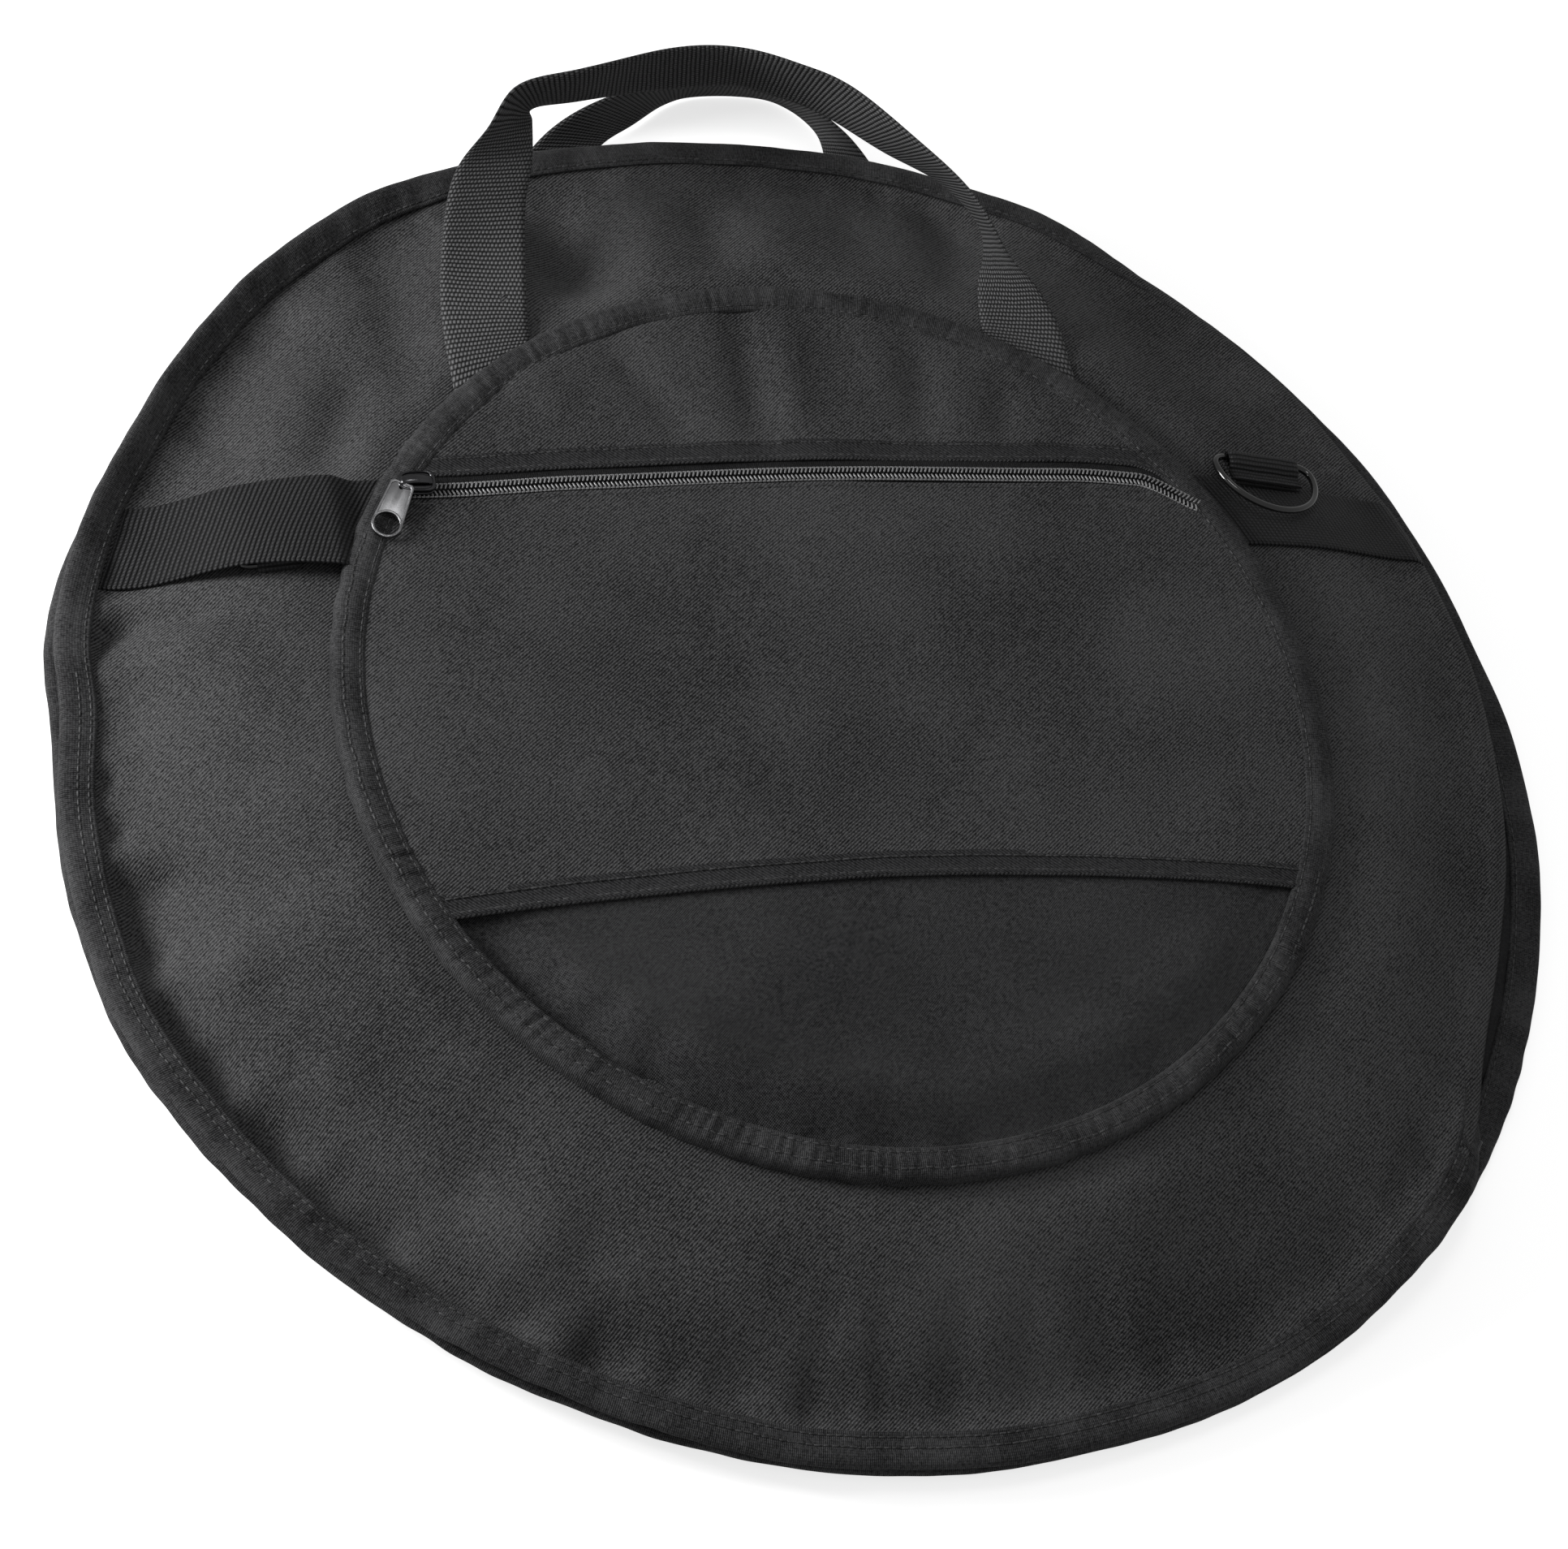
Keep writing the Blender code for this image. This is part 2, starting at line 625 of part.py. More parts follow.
def pull_mesh(name, thickness, top_width, end_radius):
    """Flat tab that widens to a round end."""
    half = top_width / 2
    lean = math.asin((end_radius - half) / PULL_LENGTH)
    arc_steps = 10
    outline = [(-PULL_BAR / 2, -half), (-PULL_BAR / 2, half)]
    start = math.pi / 2 + lean
    for part in range(arc_steps + 1):
        angle = start - 2 * start * part / arc_steps
        outline.append((PULL_LENGTH + end_radius * math.cos(angle),
                        end_radius * math.sin(angle)))
    return plate_mesh(name, outline, -thickness / 2, thickness / 2)


def pull(name, matrix, tilt, size, parent):
    """Place a pull with its origin on its joint, and cut its round hole and its bridge's eye."""
    thickness, top_width, end_radius = size
    mesh = pull_mesh(name, thickness, top_width, end_radius)
    mesh.transform(tilt)
    item = place(name, mesh, metal_material(name + "_metal"), matrix, parent)
    hole_radius = end_radius - PULL_RIM
    hole_steps = 12
    hole_turn = 2 * math.pi / hole_steps
    hole_line = [(PULL_LENGTH + hole_radius * math.cos(part * hole_turn),
                  hole_radius * math.sin(part * hole_turn)) for part in range(hole_steps)]
    eye_side = top_width / 2 - PULL_EYE_SIDE
    eye_near = PULL_BAR / 2
    eye_far = eye_near + PULL_EYE_LENGTH
    eye_line = [(eye_near, -eye_side), (eye_far, -eye_side), (eye_far, eye_side),
                (eye_near, eye_side)]
    deep = thickness / 2 + PROFILE_OVERRUN
    for label, line in (("hole", hole_line), ("eye", eye_line)):
        cut = plate_mesh(name + "_" + label, line, -deep, deep)
        cut.transform(tilt)
        tool = place(name + "_" + label, cut, bpy.data.materials[name + "_metal"], matrix)
        boolean(item, tool, "DIFFERENCE")
    return item


def pocket_slider_and_pull(parent):
    """The slider runs along the pocket zip, and its pull swings flat round the bridge's left leg."""
    top = pocket_levels()[1]
    teeth_top = pocket_levels()[0] + TEETH_HEIGHT
    foot = top + FIT_GAP
    slider_x = -chain_half_length(POCKET_ZIP_Y + TEETH_HALF_WIDTH) - SLIDER_PAST_CHAIN
    seat = Matrix.Translation((slider_x, POCKET_ZIP_Y, foot))
    height = slider("pocket_zip_slider", seat, parent, BRIDGE_ROOM, teeth_top - foot)
    leg_x = slider_x - BRIDGE_SPAN / 2 + BRIDGE_WALL / 2
    middle = foot + height + BRIDGE_ROOM / 2
    turn = Matrix.Rotation(math.pi + POCKET_PULL_TURN, 4, "Z")
    matrix = Matrix.Translation((leg_x, POCKET_ZIP_Y, middle)) @ turn
    tilt = Matrix.Translation((-POCKET_PULL_REACH, POCKET_PULL_SIDE, 0))
    tilt = tilt @ Matrix.Rotation(POCKET_PULL_DROP, 4, "Y")
    size = (PULL_THICKNESS, POCKET_PULL_TOP_WIDTH, POCKET_PULL_END_RADIUS)
    pull("pocket_zip_pull", matrix, tilt, size, parent)


def main_slider_and_pull(back):
    """The main slider rides the standing teeth at the rim, parked at the lower right end."""
    angle = MAIN_SLIDER_STEP * TURN
    back_teeth = main_zip_levels()[1]
    middle_z = back_teeth + MAIN_TEETH_HEIGHT + FIT_GAP / 2
    teeth_outer = BAG_RADIUS - MAIN_ZIP_INSET + MAIN_TEETH_DEPTH
    spin = Matrix.Rotation(angle, 4, "Z")
    axes = Matrix(((0, 0, 1, 0), (-1, 0, 0, 0), (0, -1, 0, 0), (0, 0, 0, 1)))
    foot = teeth_outer + MAIN_SLIDER_PLAY
    seat = spin @ Matrix.Translation((foot, 0, middle_z)) @ axes
    height = slider("main_zip_slider", seat, back, MAIN_BRIDGE_ROOM)
    bar_along = BRIDGE_SPAN / 2 - BRIDGE_WALL - MAIN_PULL_REACH
    out = foot + height + MAIN_BRIDGE_ROOM / 2
    matrix = spin @ Matrix.Translation((out, -bar_along, middle_z)) @ axes
    size = (MAIN_PULL_THICKNESS, MAIN_PULL_TOP_WIDTH, MAIN_PULL_END_RADIUS)
    pull("main_zip_pull", matrix, Matrix.Identity(4), size, back)


# Webbing

def lowest_reach(inward, travel):
    """How far a strap's lowest corner hangs below its centre line."""
    across, face = strap_axes(inward, travel)
    return (abs(across.z) * HANDLE_WIDTH + abs(face.z) * WEBBING) / 2


def handle(name, pivot, travel_points, inward_directions, look, parent, floor=None):
    """A webbing handle from its left foot to its right foot, the second half mirroring the first.

    With a floor height given, every section of the strap rests on that height.
    """
    left = [Vector(point) for point in travel_points]
    points = left + [Vector((-p.x, p.y, p.z)) for p in reversed(left[:-1])]
    turns = [Vector(direction) for direction in inward_directions]
    turns += [Vector((-d.x, d.y, d.z)) for d in reversed(turns[:-1])]
    per_span = 3
    path, travels = smooth_path(points, per_span)
    sections = []
    for index, (centre, travel) in enumerate(zip(path, travels)):
        span = min(index // per_span, len(turns) - 2)
        share = smooth(index / per_span - span)
        inward = turns[span].lerp(turns[span + 1], share)
        if floor is not None:
            centre.z = floor + lowest_reach(inward, travel)
        sections.append((centre - pivot, inward, travel))
    mesh = ribbon_mesh(name, sections, HANDLE_WIDTH, WEBBING)
    return place(name, mesh, look, Matrix.Translation(pivot), parent)


def front_handle(parent):
    """Webbing that leaves the pocket's edge, stands off the front and turns on edge at its top."""
    foot_z = front_top_at(FRONT_FOOT_INNER_EDGE, FRONT_FOOT_Y) + BAND_CLEARANCE + WEBBING / 2
    out_shares = (1.0, 1.0, 0.965, 0.92, 0.88, 0.775, 0.58, 0.30, 0.0)
    reach_shares = (0.0, 0.06, 0.27, 0.54, 0.745, 0.885, 0.955, 0.99, 1.0)
    rise_shares = (0.0, 0.05, 0.30, 0.66, 0.88, 0.98, 1.0, 0.98, 0.95)
    points = [(-FRONT_FOOT_X * out, FRONT_FOOT_Y + FRONT_HANDLE_REACH * reach,
               foot_z + FRONT_HANDLE_RISE * rise)
              for out, reach, rise in zip(out_shares, reach_shares, rise_shares)]
    inward_shares = ((1, 0, 0), (1, 0, 0), (1, 0, -0.04), (1, -0.05, -0.12), (0.9, -0.15, -0.4),
                     (0.55, -0.35, -0.8), (0.15, -0.25, -0.97), (0, -0.2, -0.98), (0, -0.2, -0.98))
    pivot = Vector((0, FRONT_FOOT_Y, foot_z))
    handle("front_handle", pivot, points, inward_shares, cloth_material("handle_webbing"), parent)


def back_handle(parent):
    """Webbing that leaves the back under the rim, on the floor, and turns on edge past the rim."""
    lying = BACK_HANDLE_LIFT + WEBBING / 2
    out_shares = (1.0, 1.0, 0.95, 0.86, 0.70, 0.36, 0.0)
    reach_shares = (0.0, 0.08, 0.34, 0.62, 0.85, 0.97, 1.0)
    points = [(-BACK_FOOT_X * out, BACK_FOOT_Y + BACK_HANDLE_REACH * reach, lying)
              for out, reach in zip(out_shares, reach_shares)]
    inward_shares = ((1, 0, 0), (1, 0, 0), (1, 0, 0), (1, -0.1, 0), (0.9, -0.35, -0.3), (0.3, -0.35, -0.9),
                     (0, -0.15, -0.985))
    pivot = Vector((0, BACK_FOOT_Y, lying))
    handle("back_handle", pivot, points, inward_shares, cloth_material("back_handle_webbing"), parent,
           BACK_HANDLE_LIFT)


def band_lift(x, side):
    """The left band bridges the ring that is tucked under it."""
    if side > 0:
        return 0.0
    start = LEFT_RING_X + RING_HALF_WIDTH + RING_WIRE
    return BAND_RISE * smooth((start + BAND_RAMP - abs(x)) / BAND_RAMP)


def cross_band(name, side, parent):
    """Webbing across the front, from the rim's binding to the pocket's binding."""
    bm = bmesh.new()
    along, across = 12, 2
    rim = (BAG_RADIUS - BINDING_WIDTH) * math.cos(TURN / 2) - FIT_GAP
    pocket = POCKET_RADIUS + FIT_GAP
    layers = ([], [])
    for row in range(across + 1):
        y = BAND_Y + BAND_WIDTH * (row / across - 0.5)
        start = math.sqrt(rim * rim - y * y)
        end = math.sqrt(pocket * pocket - y * y)
        lines = ([], [])
        for part in range(along + 1):
            x = side * (start + (end - start) * part / along)
            height = front_top_at(x, y) + BAND_CLEARANCE + band_lift(x, side)
            lines[0].append(bm.verts.new((x, y, height)))
            lines[1].append(bm.verts.new((x, y, height + WEBBING)))
        layers[0].append(lines[0])
        layers[1].append(lines[1])
    for grid in layers:
        for row in range(across):
            for part in range(along):
                bm.faces.new((grid[row][part], grid[row][part + 1], grid[row + 1][part + 1],
                              grid[row + 1][part]))
    low, high = layers
    for row in (0, across):
        for part in range(along):
            bm.faces.new((low[row][part], low[row][part + 1], high[row][part + 1],
                          high[row][part]))
    for part in (0, along):
        for row in range(across):
            bm.faces.new((low[row][part], low[row + 1][part], high[row + 1][part],
                          high[row][part]))
    place(name, finish_mesh(name, bm), cloth_material(name + "_webbing"), parent=parent)


# Strap rings

def ring_path():
    """Centre line of a D: a straight bar and a half ellipse, with rounded corners."""
    points = []
    bar_steps, bow_steps, corner_steps = 4, 20, 3
    straight = RING_HALF_WIDTH - RING_CORNER
    for part in range(bar_steps + 1):
        points.append(Vector((straight * (2 * part / bar_steps - 1), 0, 0)))
    for part in range(1, corner_steps):
        angle = math.pi / 2 - part * math.pi / 2 / corner_steps
        points.append(Vector((straight + RING_CORNER * math.cos(angle),
                              RING_CORNER * (math.sin(angle) - 1), 0)))
    for part in range(bow_steps + 1):
        angle = part * math.pi / bow_steps
        points.append(Vector((RING_HALF_WIDTH * math.cos(angle),
                              -RING_CORNER - (RING_DEPTH - RING_CORNER) * math.sin(angle), 0)))
    for part in range(1, corner_steps):
        angle = part * math.pi / 2 / corner_steps
        points.append(Vector((-straight - RING_CORNER * math.cos(angle),
                              RING_CORNER * (math.sin(angle) - 1), 0)))
    return points


def ring_mesh(name):
    """Round wire along the D."""
    points = ring_path()
    sides = 8
    bm = bmesh.new()
    rings = []
    for index, point in enumerate(points):
        ahead = points[(index + 1) % len(points)]
        travel = (ahead - points[index - 1]).normalized()
        out = travel.cross(Vector((0, 0, 1)))
        ring = []
        for part in range(sides):
            angle = 2 * math.pi * (part + 0.5) / sides
            ring.append(bm.verts.new(point + out * (RING_WIRE / 2 * math.cos(angle))
                                     + Vector((0, 0, RING_WIRE / 2 * math.sin(angle)))))
        rings.append(ring)
    for index, here in enumerate(rings):
        there = rings[(index + 1) % len(rings)]
        for part in range(sides):
            after = (part + 1) % sides
            bm.faces.new((here[part], here[after], there[after], there[part]))
    return finish_mesh(name, bm)


def loop_mesh(name):
    """Folded webbing: an eye round the ring's bar and a tongue sewn down inside the ring."""
    inner = RING_WIRE / 2 + LOOP_PLAY
    outer = inner + LOOP_WALL
    steps = 12
    foot = -outer
    tongue_top = foot + 2 * LOOP_WALL
    opening = math.radians(20)
    wrap = math.radians(230)
    outline = [(-LOOP_TONGUE, foot), (0, foot)]
    for part in range(1, steps):
        angle = -math.pi / 2 + part * wrap / steps
        outline.append((outer * math.cos(angle), outer * math.sin(angle)))
    outline.append((-outer * math.cos(opening), tongue_top + LOOP_WALL))
    outline.append((-outer - LOOP_WALL, tongue_top))
    outline.append((-LOOP_TONGUE, tongue_top))
    bm = bmesh.new()
    face = bm.faces.new([bm.verts.new((-LOOP_WIDTH / 2, y, z)) for y, z in outline])
    grown = bmesh.ops.extrude_face_region(bm, geom=[face])
    moved = [part for part in grown["geom"] if isinstance(part, bmesh.types.BMVert)]
    bmesh.ops.translate(bm, verts=moved, vec=(LOOP_WIDTH, 0, 0))
    return finish_mesh(name, bm), inner


def seat_under_ring(x, y, side):
    """The right ring lies on the band and the left one on the cloth under it."""
    on_band = side > 0 and abs(y - BAND_Y) < BAND_WIDTH / 2 + RING_WIRE
    return front_top_at(x, y) + (BAND_CLEARANCE + WEBBING if on_band else 0.0)


def ring_rise(frame, side):
    """Height that brings the ring and its loop just clear of what they lie on."""
    foot = RING_WIRE / 2
    loop_foot = foot + LOOP_PLAY + LOOP_WALL
    points = [(point, foot) for point in ring_path()]
    points += [(Vector((x, y, 0)), loop_foot) for x in (-LOOP_WIDTH / 2, 0, LOOP_WIDTH / 2)
               for y in (-LOOP_TONGUE, -LOOP_TONGUE / 2, 0, loop_foot)]
    rises = []
    for point, depth in points:
        there = frame @ (point - Vector((0, 0, depth)))
        rises.append(seat_under_ring(there.x, there.y, side) - there.z)
    return max(rises) + BAND_CLEARANCE


def ring_and_loop(side, label, parent):
    """Right: on the band, bow down. Left: under the band, bow up."""
    x = RIGHT_RING_X if side > 0 else -LEFT_RING_X
    bar_y = RIGHT_RING_BAR_Y if side > 0 else LEFT_RING_BAR_Y
    half = RING_HALF_WIDTH
    far_y = bar_y - side * RING_DEPTH
    slope = math.atan2(seat_under_ring(x + half, bar_y, side) - seat_under_ring(x - half, bar_y, side),
                       2 * half)
    dip = math.atan2(seat_under_ring(x, bar_y, side) - seat_under_ring(x, far_y, side), RING_DEPTH)
    frame = Matrix.Translation((x, bar_y, 0)) @ Matrix.Rotation(-slope, 4, "Y")
    if side < 0:
        frame = frame @ Matrix.Rotation(math.pi, 4, "Z")
    frame = frame @ Matrix.Rotation(dip, 4, "X")
    frame = Matrix.Translation((0, 0, ring_rise(frame, side))) @ frame
    mesh, inner = loop_mesh("d_ring_loop_" + label)
    loop = place("d_ring_loop_" + label, mesh, cloth_material("loop_webbing_" + label), frame, parent)
    bore = bmesh.new()
    sides = 12
    line = [bore.verts.new((-LOOP_WIDTH, inner * math.cos(2 * math.pi * part / sides),
                            inner * math.sin(2 * math.pi * part / sides))) for part in range(sides)]
    face = bore.faces.new(line)
    grown = bmesh.ops.extrude_face_region(bore, geom=[face])
    moved = [part for part in grown["geom"] if isinstance(part, bmesh.types.BMVert)]
    bmesh.ops.translate(bore, verts=moved, vec=(2 * LOOP_WIDTH, 0, 0))
    tool = place("bore_" + label, finish_mesh("bore_" + label, bore),
                 bpy.data.materials["loop_webbing_" + label], frame)
    boolean(loop, tool, "DIFFERENCE")
    place("d_ring_" + label, ring_mesh("d_ring_" + label),
          metal_material("ring_metal_" + label, (0.04, 0.04, 0.045)), frame, parent)


def anchor(name):
    """An empty that carries one half of the bag."""
    item = bpy.data.objects.new(name, None)
    bpy.context.scene.collection.objects.link(item)
    return item


def main():
    clear_scene()
    back = anchor("back_half")
    front = anchor("front_half")
    back_layers(back)
    bindings(back, front)
    main_zip(back, front)
    front_layers(front)
    pocket_binding(front)
    pocket_panels(front)
    for name, side in (("upper", 1), ("lower", -1)):
        pocket_zip_tape("pocket_zip_tape_" + name, side, front)
        pocket_zip_teeth("pocket_zip_teeth_" + name, side, front)
    pocket_slider_and_pull(front)
    main_slider_and_pull(back)
    front_handle(front)
    back_handle(back)
    for side, label in ((-1, "left"), (1, "right")):
        cross_band("cross_band_" + label, side, front)
        ring_and_loop(side, label, front)


main()
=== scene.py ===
"""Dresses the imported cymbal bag: padded cloth, bound edges, stitching, zips, webbing and metal."""
import json
import math

import bmesh
import bpy
import numpy as np
from mathutils import Matrix, Vector


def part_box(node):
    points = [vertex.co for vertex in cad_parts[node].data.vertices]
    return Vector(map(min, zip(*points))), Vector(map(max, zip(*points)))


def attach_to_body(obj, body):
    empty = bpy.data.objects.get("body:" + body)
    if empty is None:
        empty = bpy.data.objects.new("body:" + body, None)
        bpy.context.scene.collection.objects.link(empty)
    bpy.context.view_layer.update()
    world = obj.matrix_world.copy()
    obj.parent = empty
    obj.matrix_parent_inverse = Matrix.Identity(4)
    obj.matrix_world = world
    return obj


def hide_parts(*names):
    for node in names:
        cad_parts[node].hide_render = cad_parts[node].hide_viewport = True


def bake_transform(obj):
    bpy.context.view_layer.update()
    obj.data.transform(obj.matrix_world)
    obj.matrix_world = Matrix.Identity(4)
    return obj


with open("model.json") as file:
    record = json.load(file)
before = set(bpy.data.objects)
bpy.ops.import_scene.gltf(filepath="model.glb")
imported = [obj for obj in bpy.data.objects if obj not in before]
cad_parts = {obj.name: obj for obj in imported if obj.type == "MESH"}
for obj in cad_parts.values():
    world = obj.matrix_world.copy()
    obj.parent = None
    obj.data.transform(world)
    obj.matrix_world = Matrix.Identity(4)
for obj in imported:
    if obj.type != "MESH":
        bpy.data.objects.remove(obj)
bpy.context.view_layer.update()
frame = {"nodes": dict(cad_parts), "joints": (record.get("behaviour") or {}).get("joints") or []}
MM = 0.001
UP = np.array((0.0, 0.0, 1.0))


def corner(node, end, axis):
    """One side of a CAD node's box: end 0 is the low one, axis 0 to 2 is X to Z."""
    return float(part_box(node)[end][axis])


# Sizes read from the frame
BAG_R = corner("back_binding", 1, 0)
BACK_FOOT = corner("back_binding", 0, 2)
BACK_RIM_TOP = corner("back_binding", 1, 2)
RIM_HEIGHT = BACK_RIM_TOP - BACK_FOOT
FRONT_RIM_FOOT = corner("front_binding", 1, 2) - RIM_HEIGHT
FRONT_HEIGHT = corner("front_panel", 1, 2)
BACK_SOLID_TOP = corner("back_lining", 1, 2)
POCKET_R = corner("pocket_binding", 1, 0)
POCKET_TOP = corner("pocket_binding", 1, 2)
TAPE_TOP = corner("pocket_zip_tape_upper", 1, 2)
CHAIN_TOP = corner("pocket_zip_teeth_upper", 1, 2)
CHAIN_Y = (corner("pocket_zip_teeth_upper", 1, 1) + corner("pocket_zip_teeth_lower", 0, 1)) / 2
CHAIN_HALF = corner("pocket_zip_teeth_upper", 1, 0)
HEM_Y = corner("pocket_main_panel", 0, 1)
TEETH_R = corner("main_zip_teeth_back", 1, 0)
BACK_TEETH_FOOT = corner("main_zip_teeth_back", 0, 2)
FRONT_TEETH_TOP = corner("main_zip_teeth_front", 1, 2)
BAND_LOW, BAND_HIGH = (corner("cross_band_right", end, 1) for end in (0, 1))

# Cloth and tape
RIM_WIDTH = 14 * MM
POCKET_RIM_WIDTH = 13.2 * MM
POCKET_INNER_R = POCKET_R - POCKET_RIM_WIDTH
FLAT_R, BACK_FLAT_R = BAG_R - 100 * MM, BAG_R - 90 * MM  # where front and back start to fall
EDGE_STEP = 3.7 * MM  # from the front binding's foot to the cloth beside it
FRONT_LOWEST = 4.6 * MM
TABLE_GAP = 0.02 * MM
QUILT, QUILT_EDGE = 7.6 * MM, 2.2 * MM  # thickness of the front, and of both covers at the rim
QUILT_FROM, QUILT_OVER = 0.235, 0.037  # radius at which that thickness falls, and over what
COVER_MID_R = 0.2  # radius at which the covers' rows of points close up
WEB = 1.7 * MM
SEAM_LIFT = 0.12 * MM  # of a stitch above the tape it is sewn in
STITCH_PITCH, STITCH_LENGTH, STITCH_THICK = 3.3 * MM, 2.6 * MM, 0.85 * MM

# Main zip, in degrees round the bag
ZIP_START, ZIP_END, ZIP_RELEASE = -45.0, 172.5, 22.5

COLUMNS = 1080  # points round the bag
TURNS = np.arange(COLUMNS) * 2 * math.pi / COLUMNS
EASE_STEPS = 21  # half degrees over which a table's corners are rounded
SWELL_WAVES, SWELL_RANGE = 10, (0.7, 1.5)
WIRE_SIDES = 14


# Number helpers

def smooth(value):
    """Smooth rise from 0 to 1."""
    held = np.clip(value, 0, 1)
    return held * held * (3 - 2 * held)


def bell(value, centre, width):
    """1 at the centre, falling away on both sides."""
    return np.exp(-((value - centre) / width) ** 2)


def around(angle, table):
    """A value read round the bag from pairs of degrees and value, with its corners eased."""
    keys, values = zip(*table)
    steps = np.arange(720) / 2
    line = np.interp(steps, keys, values, period=360)
    kernel = np.hanning(EASE_STEPS)
    line = np.convolve(np.tile(line, 3), kernel / kernel.sum(), "same")[720:1440]
    return np.interp(np.degrees(angle) % 360, steps, line, period=360)


def ripple(angle, low, high, seed, waves=7):
    """Smooth wave round the bag with low to high bumps in a turn, about -1 to 1."""
    rng = np.random.default_rng(seed)
    total = 0.0
    for _ in range(waves):
        total = total + np.sin(int(rng.integers(low, high)) * angle + rng.uniform(0, 2 * math.pi))
    return total / math.sqrt(waves)


def swell(x, y, size, seed):
    """Smooth relief, about -1 to 1, with bumps of about that size."""
    rng = np.random.default_rng(seed)
    total = 0.0
    for _ in range(SWELL_WAVES):
        heading = rng.uniform(0, math.pi)
        turn = math.pi / (size * rng.uniform(*SWELL_RANGE))
        total = total + np.sin(turn * (x * math.cos(heading) + y * math.sin(heading))
                               + rng.uniform(0, 2 * math.pi))
    return total / math.sqrt(SWELL_WAVES)


def folded(x, y, folds):
    """Soft folds added up, in mm: each has two ends, a width and a height, and tapers off."""
    x, y = x / MM, y / MM
    total = 0.0
    for x0, y0, x1, y1, width, height in folds:
        run_x, run_y = x1 - x0, y1 - y0
        square = run_x ** 2 + run_y ** 2
        along = ((x - x0) * run_x + (y - y0) * run_y) / square
        off = ((x - x0) * run_y - (y - y0) * run_x) / math.sqrt(square)
        total = total + height * bell(off, 0, width) * np.exp(-(2 * (along - 0.5)) ** 4)
    return total


# Mesh helpers

def skin(grid, wrap_rows=False, wrap_columns=False, caps=False, uv=None):
    """Vertices, faces and corner UVs of a sheet through a grid of points."""
    rows, columns = grid.shape[:2]
    index = np.arange(rows * columns).reshape(rows, columns)
    if wrap_rows:
        index = np.vstack([index, index[:1]])
    if wrap_columns:
        index = np.hstack([index, index[:, :1]])
    quads = np.stack([index[:-1, :-1], index[:-1, 1:], index[1:, 1:], index[1:, :-1]], -1)
    faces = quads.reshape(-1, 4).tolist()
    corners = None
    if uv is not None:
        corners = np.stack([uv[:-1, :-1], uv[:-1, 1:], uv[1:, 1:], uv[1:, :-1]], 2).reshape(-1, 2)
    if caps:
        for line in (index[:, 0], index[:, -1]) if wrap_rows else (index[0], index[-1]):
            line = line.tolist()
            line = line[:-1] if line[0] == line[-1] else line
            faces.append(line)
            if corners is not None:
                corners = np.vstack([corners, np.zeros((len(line), 2))])
    return grid.reshape(-1, 3), faces, corners


def joined(shapes):
    """Several shapes as one."""
    verts, faces, base = [], [], 0
    for points, polygons, _ in shapes:
        verts.append(points)
        faces += [[base + i for i in polygon] for polygon in polygons]
        base += len(points)
    return np.vstack(verts), faces, None


def piece(name, shape, look, slot, *replaced):
    """Make the object, with its normals out and its material."""
    points, faces, corners = shape
    mesh = bpy.data.meshes.new(name)
    mesh.from_pydata(points.tolist(), [], faces)
    if corners is not None:
        layer = mesh.uv_layers.new(name="metres")
        layer.data.foreach_set("uv", corners.astype(np.float32).ravel())
    bm = bmesh.new()
    bm.from_mesh(mesh)
    bmesh.ops.recalc_face_normals(bm, faces=bm.faces)
    bm.to_mesh(mesh)
    bm.free()
    mesh.shade_smooth()
    mesh.materials.append(look)
    made = linked(name, mesh)
    if replaced:
        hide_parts(*replaced)
    return made


def linked(name, data):
    """An object with this data, in the scene."""
    made = bpy.data.objects.new(name, data)
    bpy.context.scene.collection.objects.link(made)
    return made


def on_front(made):
    """Bakes a front piece's placing into its mesh."""
    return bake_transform(made)


def on_back(made):
    """The back lies still."""
    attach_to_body(made, "back")
    return made


def ring_grid(radii, heights, angles=TURNS):
    """Points round the bag from their radius, height and angle."""
    return np.stack([radii * np.cos(angles), radii * np.sin(angles), heights + 0 * radii], -1)


def ring_uv(radii, heights, angles=TURNS, closed=True):
    """UVs in metres: across the tape and along it."""
    mean_r, mean_z = radii.mean(1), heights.mean(1)
    step = np.hypot(np.diff(mean_r, append=mean_r[:1]), np.diff(mean_z, append=mean_z[:1]))
    across = np.concatenate([[0], np.cumsum(step)])
    if closed:
        angles = np.append(angles, 2 * angles[-1] - angles[-2])
    return np.stack(np.meshgrid(across, angles * radii.mean(), indexing="ij"), -1)


def ring_shape(radii, heights):
    """A tape that runs all round."""
    return skin(ring_grid(radii, heights), wrap_rows=True, wrap_columns=True,
                uv=ring_uv(radii, heights))


def strap_shape(loop, across, along):
    """A strap from rows of points round its section, with UVs across and along it in metres."""
    uv = np.stack(np.meshgrid(across, along, indexing="ij"), -1)
    return skin(loop, wrap_rows=True, caps=True, uv=uv)


def bead(length, thick, sides, flat=1.0):
    """A rounded rod along X."""
    shares = ((-0.5, 0.3), (-0.43, 0.78), (-0.22, 1.0), (0.22, 1.0), (0.43, 0.78), (0.5, 0.3))
    turn = np.arange(sides) * 2 * math.pi / sides
    rows = [np.stack([np.full(sides, along * length), np.cos(turn) * thick / 2 * share,
                      np.sin(turn) * thick / 2 * share * flat], -1) for along, share in shares]
    return skin(np.array(rows), wrap_columns=True, caps=True)


